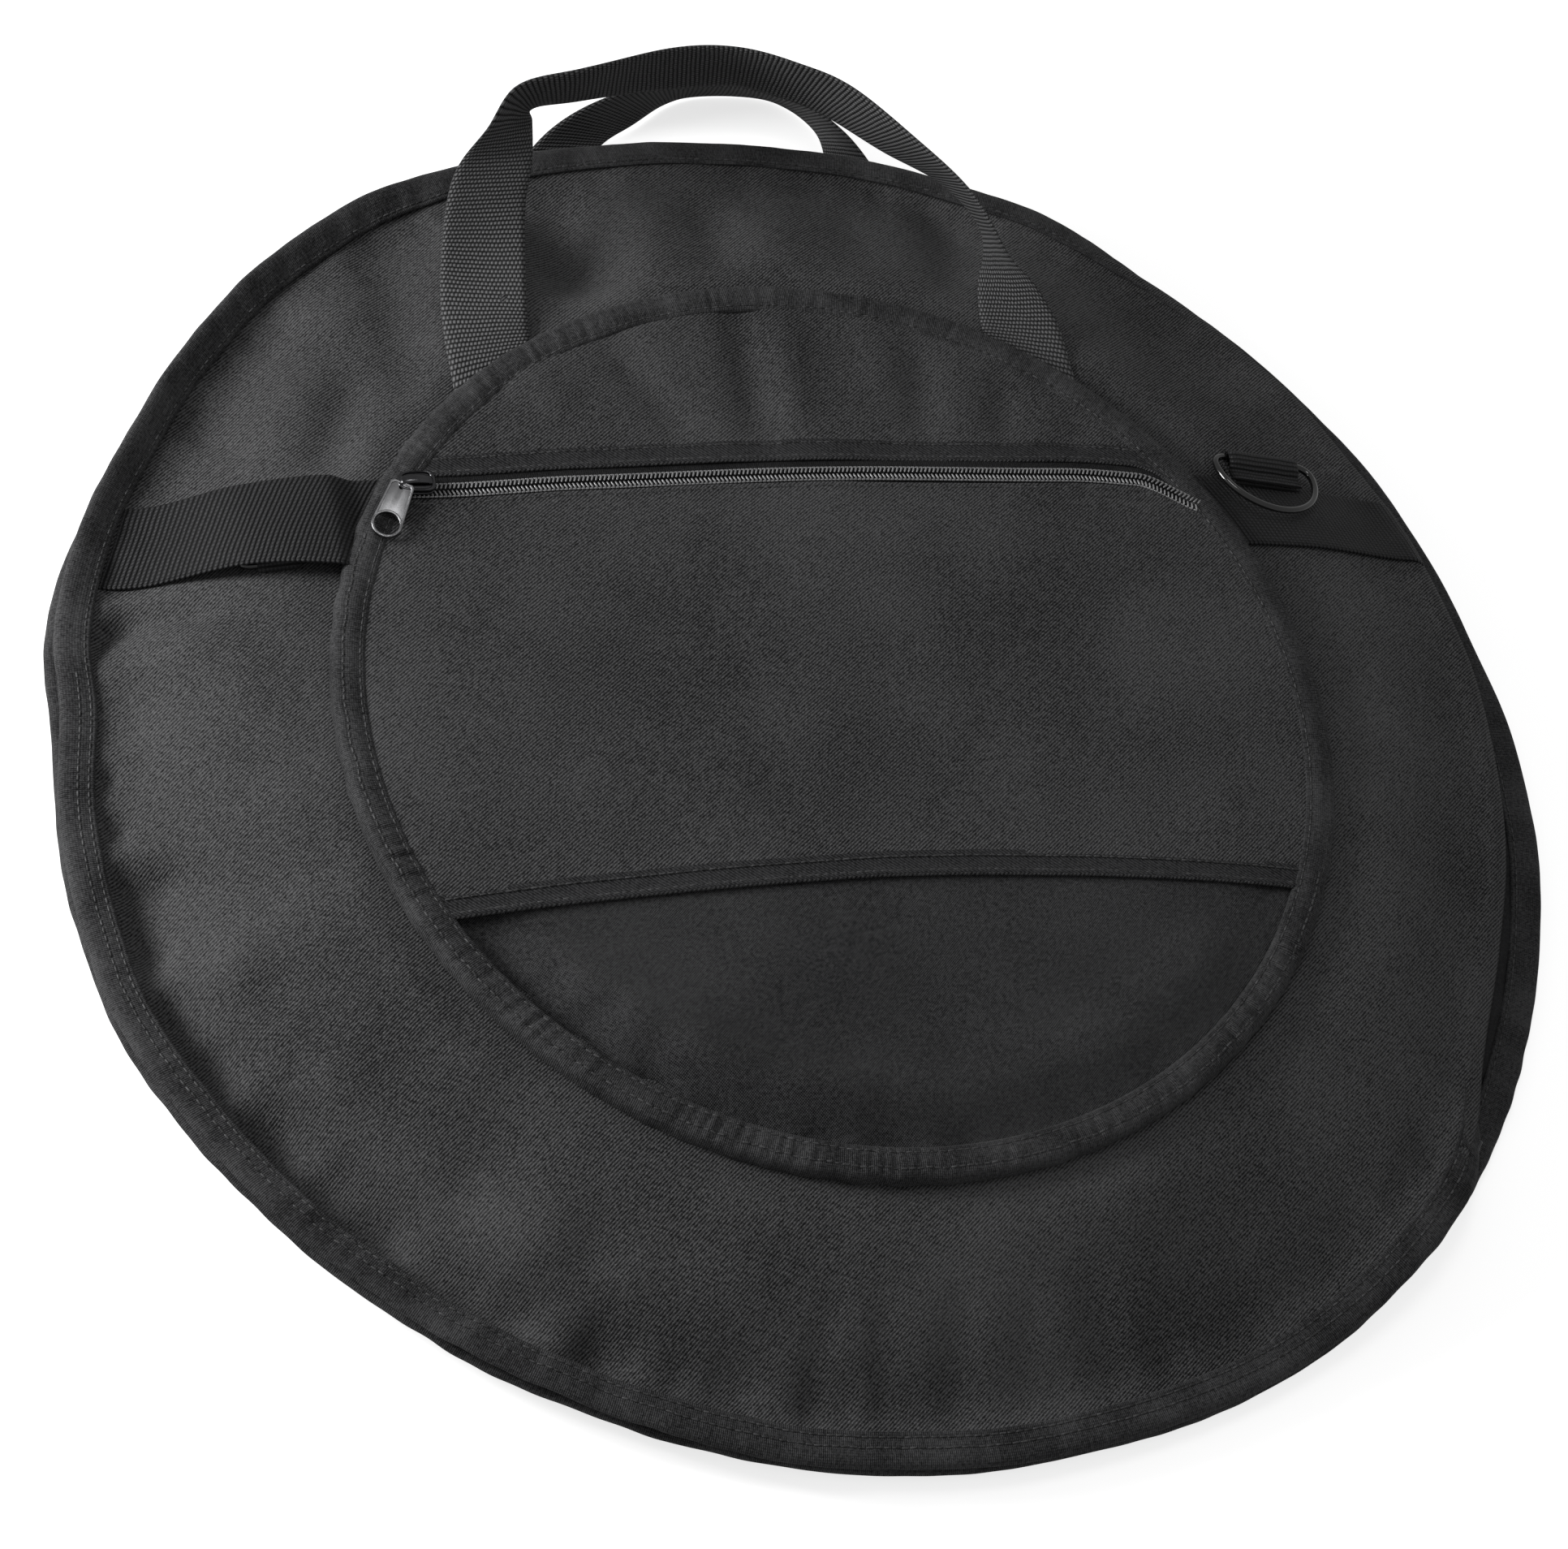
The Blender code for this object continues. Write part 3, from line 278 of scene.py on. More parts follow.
def scattered(shape, centres, along, up):
    """Copies of a shape, one at each centre, turned to its own directions."""
    points, faces, _ = shape
    along = along / np.linalg.norm(along, axis=1, keepdims=True)
    across = np.cross(up, along)
    across /= np.linalg.norm(across, axis=1, keepdims=True)
    rise = np.cross(along, across)
    copies = (centres[:, None] + along[:, None] * points[None, :, :1]
              + across[:, None] * points[None, :, 1:2] + rise[:, None] * points[None, :, 2:3])
    count = len(points)
    polygons = [[base * count + i for i in face] for base in range(len(centres)) for face in faces]
    return copies.reshape(-1, 3), polygons, None


def spaced(path, pitch, start=0.5):
    """Places at an even pitch along a path, with the direction there."""
    steps = np.linalg.norm(np.diff(path, axis=0), axis=1)
    run = np.concatenate([[0], np.cumsum(steps)])
    count = max(1, int(round(run[-1] / pitch)))
    where = (np.arange(count) + start) * run[-1] / count
    reach = pitch * 0.4

    def at(places):
        return np.stack([np.interp(places, run, path[:, k]) for k in range(3)], -1)

    along = at(where + reach) - at(where - reach)
    return at(where), along / np.linalg.norm(along, axis=1, keepdims=True)


def sewn(name, paths, slot, attach):
    """Rows of lock stitches pressed into the cloth along several paths."""
    stitch = bead(STITCH_LENGTH, STITCH_THICK, 6, flat=0.8)
    rows = [scattered(stitch, *spaced(path, STITCH_PITCH), UP) for path in paths]
    attach(piece(name, joined(rows), THREAD, slot))


# Materials

def node(tree, kind, inputs=None, **settings):
    """Add a node, set its properties, and link or set its inputs."""
    made = tree.nodes.new("ShaderNode" + kind)
    for key, value in settings.items():
        setattr(made, key, value)
    for key, value in (inputs or {}).items():
        if isinstance(value, Value):
            tree.links.new(value.socket, made.inputs[key])
        else:
            made.inputs[key].default_value = value
    return made


class Value:
    """What a node gives at each point of a surface, in sums that read like plain ones."""

    def __init__(self, tree, kind, output=0, inputs=None, **settings):
        self.tree = tree
        self.socket = node(tree, kind, inputs, **settings).outputs[output]

    def calc(self, operation, *others):
        values = dict(enumerate((self, *others)))
        return Value(self.tree, "Math", 0, values, operation=operation)

    def __add__(self, other):
        return self.calc("ADD", other)

    def __sub__(self, other):
        return self.calc("SUBTRACT", other)

    def __mul__(self, other):
        return self.calc("MULTIPLY", other)

    def __truediv__(self, other):
        return self.calc("DIVIDE", other)

    def bumps(self, pitch):
        """Half waves from 0 to 1, one in each pitch."""
        return (self * (math.pi / pitch)).calc("SINE").calc("ABSOLUTE")

    def wave(self, pitch, shift=0.0):
        """A sine wave from 0 to 1 along a length."""
        return (self * (2 * math.pi / pitch) + shift).calc("SINE") * 0.5 + 0.5


def grey(level, blue=None):
    """A grey, or one with a little more blue."""
    return level, level, blue or level


class Look:
    """A material on one Principled shader, with short calls for the nodes that drive it."""

    def __init__(self, name, rough, sheen=0.0, metallic=0.0, specular=0.5, coat=0.0, uv=False):
        self.made = bpy.data.materials.new(name)
        self.made.use_nodes = True
        self.tree = self.made.node_tree
        self.shader = self.tree.nodes["Principled BSDF"]
        even = {"Roughness": rough, "Metallic": metallic, "Specular IOR Level": specular,
                "Sheen Weight": sheen, "Sheen Roughness": 0.4, "Coat Weight": coat,
                "Coat Roughness": 0.15}
        for key, value in even.items():
            self.shader.inputs[key].default_value = value
        if uv:
            self.place = Value(self.tree, "UVMap", uv_map="metres")
        else:
            self.place = Value(self.tree, "TexCoord", "Object")
        self.x, self.y = (Value(self.tree, "SeparateXYZ", axis, {0: self.place}) for axis in "XY")

    def drive(self, socket, value):
        """Link a value to one of the shader's sockets."""
        self.tree.links.new(value.socket, self.shader.inputs[socket])

    def noise(self, scale, detail=2.0, rough=0.5):
        """Noise of about that many bumps in a metre."""
        return Value(self.tree, "TexNoise", "Fac", {"Vector": self.place, "Scale": scale,
                                                    "Detail": detail, "Roughness": rough})

    def ranged(self, value, **limits):
        """A value whose range, From_Min to From_Max, is spread over To_Min to To_Max."""
        inputs = {key.replace("_", " "): limit for key, limit in limits.items()}
        return Value(self.tree, "MapRange", 0, {"Value": value, **inputs})

    def colour(self, share, dark, light, span=(0, 1)):
        """A base colour from dark to light over a span of a share's range."""
        share = self.ranged(share, From_Min=span[0], From_Max=span[1])
        ends = {0: share, 6: (*dark, 1.0), 7: (*light, 1.0)}
        self.drive("Base Color", Value(self.tree, "Mix", 2, ends, data_type="RGBA"))

    def relief(self, height, depth, strength):
        bump = {"Height": height, "Distance": depth, "Strength": strength}
        self.drive("Normal", Value(self.tree, "Bump", 0, bump))

    def cloth(self, weave, dark, light, span, share=0.45, mottle=(14, 3), amount=0.4,
              depth=0.3 * MM):
        """Colour and relief of a weave, with speckled fibres and slow changes of tone."""
        speckle = self.noise(800, 3, 0.7)
        self.colour(weave * share + self.noise(*mottle) * amount + speckle, dark, light, span)
        self.relief(speckle * 0.6 + weave, depth, 0.8)
        return self.made


TWILL_PITCH, TWILL_FLOAT = 1.1 * MM, 1.98 * MM


def twill(name, dark, light, lean=39):
    """Black polyester twill: ribs of short floats that lean by some degrees."""
    look = Look(name, 0.85, sheen=0.03, specular=0.15)
    c, s = math.cos(math.radians(lean)), math.sin(math.radians(lean))
    across = look.y * c - look.x * s + look.noise(90) * (0.6 * MM)
    lane = (across / TWILL_PITCH).calc("FLOOR")
    floats = (look.x * c + look.y * s + lane * (0.6 * MM)).wave(TWILL_FLOAT)
    weave = across.wave(TWILL_PITCH) * (floats * 0.35 + 0.65)
    return look.cloth(weave, dark, light, (0.62, 1.14))


def plain(name, dark, light, pitch=1.0 * MM, rough=0.85):
    """Plain weave: yarns over and under in both directions."""
    look = Look(name, rough, sheen=0.03, specular=0.15)
    over, under = (look.x.wave(pitch, shift) * look.y.wave(pitch, shift)
                   for shift in (0, math.pi))
    return look.cloth(over + under, dark, light, (0.66, 1.20))


def tape(name, dark, light, rough=0.75, pitch=0.75 * MM):
    """Narrow woven tape with fine crosswise ribs, paler along its bumps."""
    look = Look(name, rough, sheen=0.04, specular=0.25, uv=True)
    weave = look.y.wave(pitch) * (look.x.wave(pitch * 1.2) * 0.5 + 0.5)
    return look.cloth(weave, dark, light, (0.72, 1.2), share=0.35, mottle=(45, 4), amount=0.6,
                      depth=0.22 * MM)


def strap(name, dark, light, row, column, stagger, gaps, span):
    """Woven strap: rows of short floats across it, each row shifted against the last, with painted
    highlight on the floats.
    """
    look = Look(name, 0.6, sheen=0.03, specular=0.3, uv=True)
    along = look.y + look.noise(110) * (0.7 * MM)
    lane = (along / row).calc("FLOOR").calc("ABSOLUTE").calc("MODULO", 2.0)
    floats = (look.x / column + lane * stagger).bumps(1)
    weave = (floats * gaps + (1 - gaps)) * along.bumps(row)
    height = look.noise(620, 3, 0.7) * 0.5 + weave
    # The raised floats are coloured paler than the hollows: painted highlight of glossy floats
    # catching the light.
    look.colour(height, dark, light, span)
    look.relief(height, 0.7 * MM, 1.0)
    return look.made


def thread(name, dark, light):
    """Twisted sewing thread."""
    look = Look(name, 0.5, sheen=0.05, specular=0.4)
    twist = look.noise(420)
    look.colour(twist, dark, light, (0.35, 0.7))
    look.relief(twist, 0.1 * MM, 0.6)
    return look.made


def nylon(name, dark, light):
    """Glossy nylon coil."""
    look = Look(name, 0.3, coat=0.5)
    look.colour(look.noise(300), dark, light)
    look.relief(look.noise(900), 0.03 * MM, 0.2)
    return look.made


def metal(name, dark, light, rough, metallic=1.0, coat=0.0):
    """Painted or plated metal with fine casting grain and smudges."""
    look = Look(name, rough, metallic=metallic, coat=coat)
    smudge = look.noise(220, 4, 0.6)
    look.colour(smudge, dark, light)
    look.drive("Roughness", look.ranged(smudge, To_Min=rough * 0.8, To_Max=rough * 1.3))
    look.relief(look.noise(1500, 3), 0.05 * MM, 0.4)
    return look.made


CLOTH_DARK = grey(0.006, 0.0065)
TWILL = twill("shell_twill", CLOTH_DARK, grey(0.112, 0.114))
POCKET_TWILL = twill("pocket_twill", CLOTH_DARK, grey(0.100, 0.102))
# The hem's twill is darker than the pocket's: painted shade on the folded hem bands.
SHADED_HEM_TWILL = twill("pocket_hem_twill_painted_shade", CLOTH_DARK, grey(0.056, 0.058), lean=-39)
OXFORD = plain("pocket_oxford", grey(0.004, 0.0045), grey(0.074, 0.076))
LINING = plain("lining_taffeta", grey(0.010, 0.011), grey(0.045, 0.046), 0.6 * MM, 0.5)
BINDING = tape("binding_tape_weave", grey(0.003, 0.0035), grey(0.074, 0.076))
ZIP_TAPE = tape("zip_tape_weave", grey(0.002, 0.0022), grey(0.022, 0.023), 0.8, 0.6 * MM)
HANDLE_WEB = strap("handle_webbing_weave", grey(0.003, 0.0032), grey(0.16, 0.163),
                   2.0 * MM, 1.6 * MM, stagger=0.5, gaps=0.8, span=(0.36, 1.12))
BAND_WEB = strap("band_webbing_weave", grey(0.002, 0.0022), grey(0.032, 0.034),
                 2.0 * MM, 1.5 * MM, stagger=0.0, gaps=0.45, span=(0.6, 1.2))
THREAD = thread("sewing_thread", grey(0.010), grey(0.075, 0.077))
# The coil is black nylon; its pale grey is painted highlight that stands in for the glints along its
# turns.
COIL_PAINTED_GLINT = nylon("zip_coil_nylon_painted_glint", grey(0.12, 0.122), grey(0.30, 0.302))
RING_BLACK = metal("ring_black_enamel", grey(0.003), grey(0.008), 0.1, metallic=0.0, coat=0.9)
SLIDER_DARK = metal("slider_dark_plate", grey(0.05, 0.052), grey(0.13, 0.135), 0.16)
PULL_GREY = metal("pull_grey_plate", grey(0.20, 0.205), grey(0.42, 0.43), 0.3)


# Shape of the bag, read round it from pairs of degrees and a value

# How far each rim stands out from a true circle, in mm
SEWN_RIM = ((182, -1), (200, 5), (225, 0), (242, -3), (260, -4), (280, -4), (300, 1))
BACK_RIM_TABLE = (
    (0, 1), (10, -1.5), (22, 1), (60, 0), (120, 0), (150, -4), (163, 2), (169, 3), (175, -4),
    *SEWN_RIM, (318, 2.5), (328, 2), (335, 1.5), (350, 2))
FRONT_RIM_TABLE = (
    (0, -8), (6, -6), (16, -5), (24, -5), (35, -4), (60, -4), (75, -7), (90, -8), (115, -3),
    (122, -1), (140, -3), (150, -4), (166, 0), (170, 0), (175, -5), *SEWN_RIM, (316, 2),
    (322, -3), (327, -10), (332, -13.5), (340, -13), (350, -10.5))
# How strongly the bindings pucker
PUCKER_TABLE = (
    (0, 0.5), (60, 0.7), (118, 1.3), (160, 1.2), (185, 0.8), (200, 2.0), (250, 2.0), (275, 0.8),
    (305, 1.0), (314, 3.2), (325, 3.2), (334, 0.8))
# Depth of the gutter that the front's binding pulls in, in mm
GUTTER_TABLE = (
    (0, 0.5), (40, 0.6), (70, 1.0), (100, 1.5), (118, 2.0), (140, 2.6), (160, 1.8), (170, 1.8),
    (180, 1.4), (188, 2.2), (198, 4.4), (205, 9.0), (215, 10.4), (236, 10.0), (246, 7.4),
    (258, 4.0), (284, 2.8), (300, 1.6), (325, 1.6), (340, 0.5))
# Degrees by which the front's binding turns down, or up where negative
TURN_TABLE = (
    (0, 78), (18, 70), (32, 58), (46, 38), (58, 14), (75, 10), (100, 8), (112, -4), (122, -32),
    (148, -36), (158, -30), (166, -10), (172, 0), (190, 0), (205, -8), (240, -8), (255, 0),
    (314, 0), (321, 26), (327, 74), (335, 78))
FULL_TUCK = 70  # turn at which the edge counts as fully rolled in
# How far the sewn rim curls up off the table, in mm
RIM_LIFT_TABLE = (
    (0, 0), (178, 0), (192, 1.5), (206, 5.2), (240, 5.2), (262, 2.0), (285, 0.6), (300, 0))

# Folds of the front and of two pocket panels, in mm: two ends, width and height
FOLDS = (
    (-146, 236, -150, 148, 13, -3.8), (-170, 242, -180, 190, 17, 4.0),
    (-168, 170, -190, 116, 10, -3.8), (-190, 172, -214, 118, 13, 2.4),
    (-238, 147, -206, 128, 6, -1.5), (-160, 243, -122, 232, 6, -1.6),
    (-293, 49, -268, 61, 5.5, -4.6), (-275, 61, -238, 59, 6, -3.4),
    (-285, 36, -240, 46, 9, 2.0), (-294, -4, -281, -6, 5, -2.6),
    (-294, -22, -278, -26, 5.5, -3.2), (-296, -44, -262, -50, 7, -4.0),
    (-292, -36, -268, -38, 6, 2.2), (-290, -67, -268, -78, 8, -4.4),
    (-278, -94, -256, -122, 9, -3.6), (-290, -56, -200, -62, 18, -3.4),
    (-252, -114, -192, -92, 16, -3.2), (-192, -204, -150, -146, 16, -2.4),
    (-165, -222, -140, -190, 12, 1.6), (-62, -285, -48, -236, 7, -1.6),
    (-34, -290, -28, -240, 6, -0.9), (-6, -290, 2, -238, 8, -1.7),
    (26, -288, 26, -244, 6, -0.8), (60, -284, 52, -236, 8, -1.5),
    (154, -143, 222, -180, 9, -1.8), (212, -206, 196, -190, 7, -2.6),
    (206, -224, 188, -204, 7, -2.6), (-30, 262, -42, 215, 12, 1.2),
    (-6, 262, -12, 212, 10, -2.0), (22, 258, 14, 212, 13, 1.5),
    (60, 262, 52, 212, 12, -1.4), (108, 262, 92, 205, 14, -4.0),
    (160, 190, 205, 150, 16, -1.4), (-104, 250, -106, 185, 18, 8.0),
    (-66, 262, -74, 205, 18, -8.0), (4, 266, 0, 212, 30, -2.5))
UPPER_FOLDS = (
    (-9, 192, -11, 124, 9, -3.0), (8, 188, 5, 130, 9, 2.0), (-68, 176, -42, 126, 9, -2.2),
    (-106, 160, -88, 140, 13, 1.6), (66, 170, 58, 124, 9, -2.4), (48, 184, 44, 148, 10, 1.6),
    (100, 156, 93, 122, 8, -2.2), (128, 136, 122, 116, 8, -1.4))
LOWER_FOLDS = (
    (-176, -88, -150, -94, 7, -2.6), (-152, -118, -130, -112, 7, -2.8),
    (-132, -134, -112, -122, 7, -2.6), (-108, -150, -92, -132, 8, -2.8),
    (-70, -172, -60, -150, 10, -1.8), (-20, -184, -16, -158, 10, -1.6))


# Relief of the front: swells' sizes, seeds and heights in mm, and the gutter and puff beside the
# binding by their distance from it and their width
SWELLS = ((80 * MM, 11, 1.3), (36 * MM, 12, 0.5))
GUTTER_AT, GUTTER_WIDTH = 8 * MM, 12.5 * MM
PUFF_AT, PUFF_WIDTH, PUFF_SHARE = 33 * MM, 14 * MM, 0.3
ROLL = 2.5 * MM  # by which a tucked edge swells up, and stands out
ROLL_START, ROLL_RADIUS = 4 * MM, 11 * MM  # how it turns under beside the binding


def rim_lift(angle):
    """How far the sewn rim curls up off the table."""
    return around(angle, RIM_LIFT_TABLE) * MM


def rim_shift(angle, table, seed):
    """How far a rim stands out from a true circle."""
    return around(angle, table) * MM + ripple(angle, 12, 34, seed) * 0.3 * MM


def tuck(angle):
    """How far the front's edge rolls out and under, from 0 to 1."""
    return np.clip(around(angle, TURN_TABLE) / FULL_TUCK, 0, 1)


def zip_share(angle):
    """1 along the zip, easing to 0 where the halves are sewn together."""
    degrees = np.degrees(angle)
    past = np.minimum((degrees - ZIP_END) % 360, (ZIP_START - degrees) % 360)
    inside = (degrees - ZIP_START) % 360 <= ZIP_END - ZIP_START
    return np.where(inside, 1.0, 1 - smooth(past / ZIP_RELEASE))


def front_foot(angle):
    """Height of the front binding's underside."""
    sewn = BACK_RIM_TOP + 0.3 * MM + rim_lift(angle)
    return sewn + (FRONT_RIM_FOOT - sewn) * zip_share(angle)


def front_edge(angle):
    """Radius at which the front cloth enters its binding."""
    return BAG_R - RIM_WIDTH + rim_shift(angle, FRONT_RIM_TABLE, 5) + ROLL * tuck(angle)


def front_relief(x, y, radius, angle, inward):
    """Slow swells, soft folds, and the gutter and puffs that the binding pulls in."""
    free = smooth((radius - POCKET_R - 1 * MM) / (16 * MM))
    held = smooth((inward + 3 * MM) / (9 * MM))
    near_rim = smooth((radius - 0.240) / 0.045)
    slow = folded(x, y, FOLDS) + sum(swell(x, y, size, seed) * height
                                     for size, seed, height in SWELLS)
    gathers = ripple(angle, 40, 90, 21, 9) * 0.35 + ripple(angle, 90, 160, 22, 9) * 0.15
    depth = around(angle, GUTTER_TABLE) * (1 + 0.22 * ripple(angle, 34, 70, 23))
    dip = depth * bell(inward, GUTTER_AT, GUTTER_WIDTH) * (1 - smooth(-inward / (4 * MM)))
    puff = PUFF_SHARE * depth * bell(inward, PUFF_AT, PUFF_WIDTH)
    return ((slow * free + gathers * near_rim ** 2) * held - dip + puff) * MM


def front_height(x, y):
    """Top of the front cloth: flat, falling to its rim, and rolled under where it is tucked."""
    radius, angle = np.hypot(x, y), np.arctan2(y, x)
    edge, tucked = front_edge(angle), tuck(angle)
    foot = front_foot(angle) + EDGE_STEP
    share = np.clip((radius - FLAT_R) / (edge - FLAT_R), 0, 1)
    rolled = tucked * ROLL * np.sin(np.pi * share) ** 2
    under = tucked * np.maximum(radius - edge + ROLL_START, 0) ** 2 / ROLL_RADIUS
    fall = foot + (FRONT_HEIGHT - foot) * 0.5 * (1 + np.cos(np.pi * share))
    relief = front_relief(x, y, radius, angle, edge - radius)
    return np.maximum(fall + rolled - under + relief, FRONT_LOWEST)


def shell_thick(radius, middle=QUILT):
    """Thickness of the quilted cloth, less towards the rim."""
    return QUILT_EDGE + (middle - QUILT_EDGE) * (1 - smooth((radius - QUILT_FROM) / QUILT_OVER))


def cover(name, half, outside, lining):
    """Twill over foam over lining, as one quilted shell, from its outer and inner points."""
    shape = skin(np.concatenate([outside, lining[::-1]]), wrap_columns=True, caps=True)
    made = piece(name, shape, TWILL, "shell_cloth",
                 half + "_panel", half + "_padding", half + "_lining")
    made.data.materials.append(LINING)
    for polygon in made.data.polygons:
        if min(polygon.vertices) >= len(outside) * COLUMNS:
            polygon.material_index = 1
    return made


def front_cover():
    """The front is domed over the cymbals."""
    rows = [3 * MM, 60 * MM, 120 * MM, 165 * MM, *np.linspace(0.185, COVER_MID_R, 5)]
    reach = front_edge(TURNS) + 6 * MM - COVER_MID_R
    radii = np.array([np.full(COLUMNS, r) for r in rows]
                     + [COVER_MID_R + reach * share for share in np.linspace(0, 1, 46)[1:]])
    x, y = radii * np.cos(TURNS), radii * np.sin(TURNS)
    top = np.stack([x, y, front_height(x, y)], -1)
    keep = np.r_[0:8, 10:len(radii):3]
    low = top[keep].copy()
    low[..., 2] -= shell_thick(radii[keep])
    on_front(cover("front_cover", "front", top, low))


def back_cover():
    """The back lies flat and lifts to its binding, pressed down under the front's gutter."""
    rows = [3 * MM, 60 * MM, 120 * MM, 180 * MM, *np.linspace(COVER_MID_R, 0.285, 16)]
    edge = BAG_R - 8 * MM + rim_shift(TURNS, BACK_RIM_TABLE, 3)
    radii = np.array([np.full(COLUMNS, r) for r in rows] + [edge - 4 * MM, edge])
    x, y = radii * np.cos(TURNS), radii * np.sin(TURNS)
    rise = 3.9 * MM * smooth((radii - BACK_FLAT_R) / (BAG_R - RIM_WIDTH - BACK_FLAT_R))
    waves = ripple(TURNS, 30, 80, 31) * 0.3 * MM * smooth((radii - 0.25) / 0.04)
    under = np.maximum(rise + TABLE_GAP + waves, TABLE_GAP)
    over = under + shell_thick(radii, BACK_SOLID_TOP)
    room = front_height(x, y) - shell_thick(radii) - 0.4 * MM
    over = np.where(radii < edge - 5 * MM, np.minimum(over, room), over)
    under = np.maximum(np.minimum(under, over - 1.4 * MM), TABLE_GAP)
    on_back(cover("back_cover", "back", np.stack([x, y, under], -1), np.stack([x, y, over], -1)))


# Bindings: the section of a folded tape as shares of its width and height, from its inner edge
RIM_SECTION = np.array((
    (0.0, 0.84), (0.05, 0.96), (0.12, 0.93), (0.18, 0.90), (0.28, 0.97), (0.40, 0.98),
    (0.48, 0.94), (0.58, 0.99), (0.84, 0.93), (0.95, 0.76), (1.0, 0.5), (0.95, 0.26),
    (0.84, 0.08), (0.58, 0.01), (0.48, 0.0), (0.28, 0.03), (0.18, 0.08), (0.12, 0.06),
    (0.05, 0.05), (0.0, 0.16), (0.02, 0.34), (0.80, 0.42), (0.82, 0.5), (0.80, 0.58),
    (0.02, 0.66)))
RIM_TOP_ROWS = 10
POCKET_SECTION = np.array((
    (0, 0.76), (0.05, 0.87), (0.12, 0.92), (0.18, 0.89), (0.26, 0.96), (0.45, 1.0),
    (0.60, 0.98), (0.68, 0.93), (0.76, 0.95), (0.90, 0.86), (0.97, 0.70), (1.0, 0.45),
    (1.0, 0.10), (0.97, 0.0), (0.5, 0.0), (0.0, 0.0)))
INNER_SEAM, OUTER_SEAM = 0.17, 0.47  # seams of the rim bindings, as shares of their width
GATHER, RIM_WAVE, WIDTH_WAVE = 0.10, 0.03, 0.006  # how much a rim binding puckers and wanders
POCKET_GATHER = 0.22 * MM
POCKET_SEAMS = ((3, 0, 359.7), (7, 155, 335))  # row of the section, from and to in degrees


def rim_binding(radius, foot, seed, turn_down=0.0):
    """Folded tape round a rim: a grid of section points by angle, as radius and height."""
    shares = RIM_SECTION[:, :1]
    along, rise = shares * RIM_WIDTH, RIM_SECTION[:, 1:] * RIM_HEIGHT
    pucker = around(TURNS, PUCKER_TABLE)
    wrinkle = (0.5 * ripple(TURNS, 150, 260, seed, 9)
               + 0.8 * ripple(TURNS + shares * 0.02, 70, 140, seed + 1))
    body = np.sin(np.pi * shares) ** 0.5
    rise = rise + (rise - RIM_HEIGHT / 2) * GATHER * wrinkle * body * pucker
    rise = rise + ripple(TURNS, 24, 60, seed + 2) * RIM_HEIGHT * RIM_WAVE * pucker
    along = along * (1 + WIDTH_WAVE * pucker * ripple(TURNS, 50, 130, seed + 3))
    pivot = RIM_HEIGHT * 0.85
    c, s = np.cos(turn_down), np.sin(turn_down)
    out = along * c + (rise - pivot) * s * 0.5
    up = pivot - along * s + (rise - pivot) * (0.5 + 0.5 * c)
    return radius + out, foot + up


def seam(radii, heights, share):
    """Path along the top of a rim binding at a share of its width."""
    keys = RIM_SECTION[:RIM_TOP_ROWS, 0]
    spot = np.searchsorted(keys, share)
    part = (share - keys[spot - 1]) / (keys[spot] - keys[spot - 1])
    r, z = (v[spot - 1] * (1 - part) + v[spot] * part for v in (radii, heights))
    return ring_grid(r, z + SEAM_LIFT)


def stretch(path, start, end):
    """The part of a closed path between two angles in degrees."""
    count = len(path)
    return path[np.arange(int(start / 360 * count), int(end / 360 * count) + 1) % count]


def rim_bindings():
    """The two rim bindings and their stitching."""
    tucked = tuck(TURNS)
    front = rim_binding(front_edge(TURNS) - 5 * MM * tucked, front_foot(TURNS) - 3 * MM * tucked,
                        41, np.radians(around(TURNS, TURN_TABLE)))
    back = rim_binding(BAG_R - RIM_WIDTH + rim_shift(TURNS, BACK_RIM_TABLE, 3),
                       BACK_FOOT + rim_lift(TURNS), 51)
    round_it = (INNER_SEAM, 0, 360)
    hinge = (OUTER_SEAM, ZIP_END, 360 + ZIP_START + 3)
    for half, grids, attach, seams in (("front", front, on_front, (round_it, hinge)),
                                       ("back", back, on_back, (round_it,))):
        attach(piece(half + "_rim_binding", ring_shape(*grids), BINDING, "binding_tape",
                     half + "_binding"))
        sewn(half + "_rim_stitches", [stretch(seam(*grids, share), start, end)
                                      for share, start, end in seams], "binding_tape", attach)


def pocket_ring():
    """Tape round the pocket, standing on the front cloth."""
    shares = POCKET_SECTION[:, :1]
    height = POCKET_TOP - FRONT_HEIGHT + 0.2 * MM
    top = POCKET_SECTION[:, 1:] > 0.3
    body = np.sin(np.pi * np.clip(shares, 0.04, 1)) ** 0.5
    pucker = (ripple(TURNS + shares * 0.02, 90, 200, 61, 9) + 0.7 * ripple(TURNS, 40, 80, 62)
              + 0.8 * ripple(TURNS + shares * 0.01, 210, 300, 64, 9))
    rough = np.clip(around(TURNS, PUCKER_TABLE), 0.6, 1.6)
    edge = ripple(TURNS, 40, 110, 63, 9) * POCKET_GATHER
    radii = POCKET_INNER_R + shares * POCKET_RIM_WIDTH + edge * shares
    heights = (FRONT_HEIGHT - 0.1 * MM + POCKET_SECTION[:, 1:] * height
               + top * pucker * body * POCKET_GATHER * rough)
    on_front(piece("pocket_edge_binding", ring_shape(radii, heights), BINDING, "binding_tape",
                   "pocket_binding"))
    seams = [stretch(ring_grid(radii[line], heights[line] + SEAM_LIFT), start, end)
             for line, start, end in POCKET_SEAMS]
    sewn("pocket_edge_stitches", seams, "binding_tape", on_front)


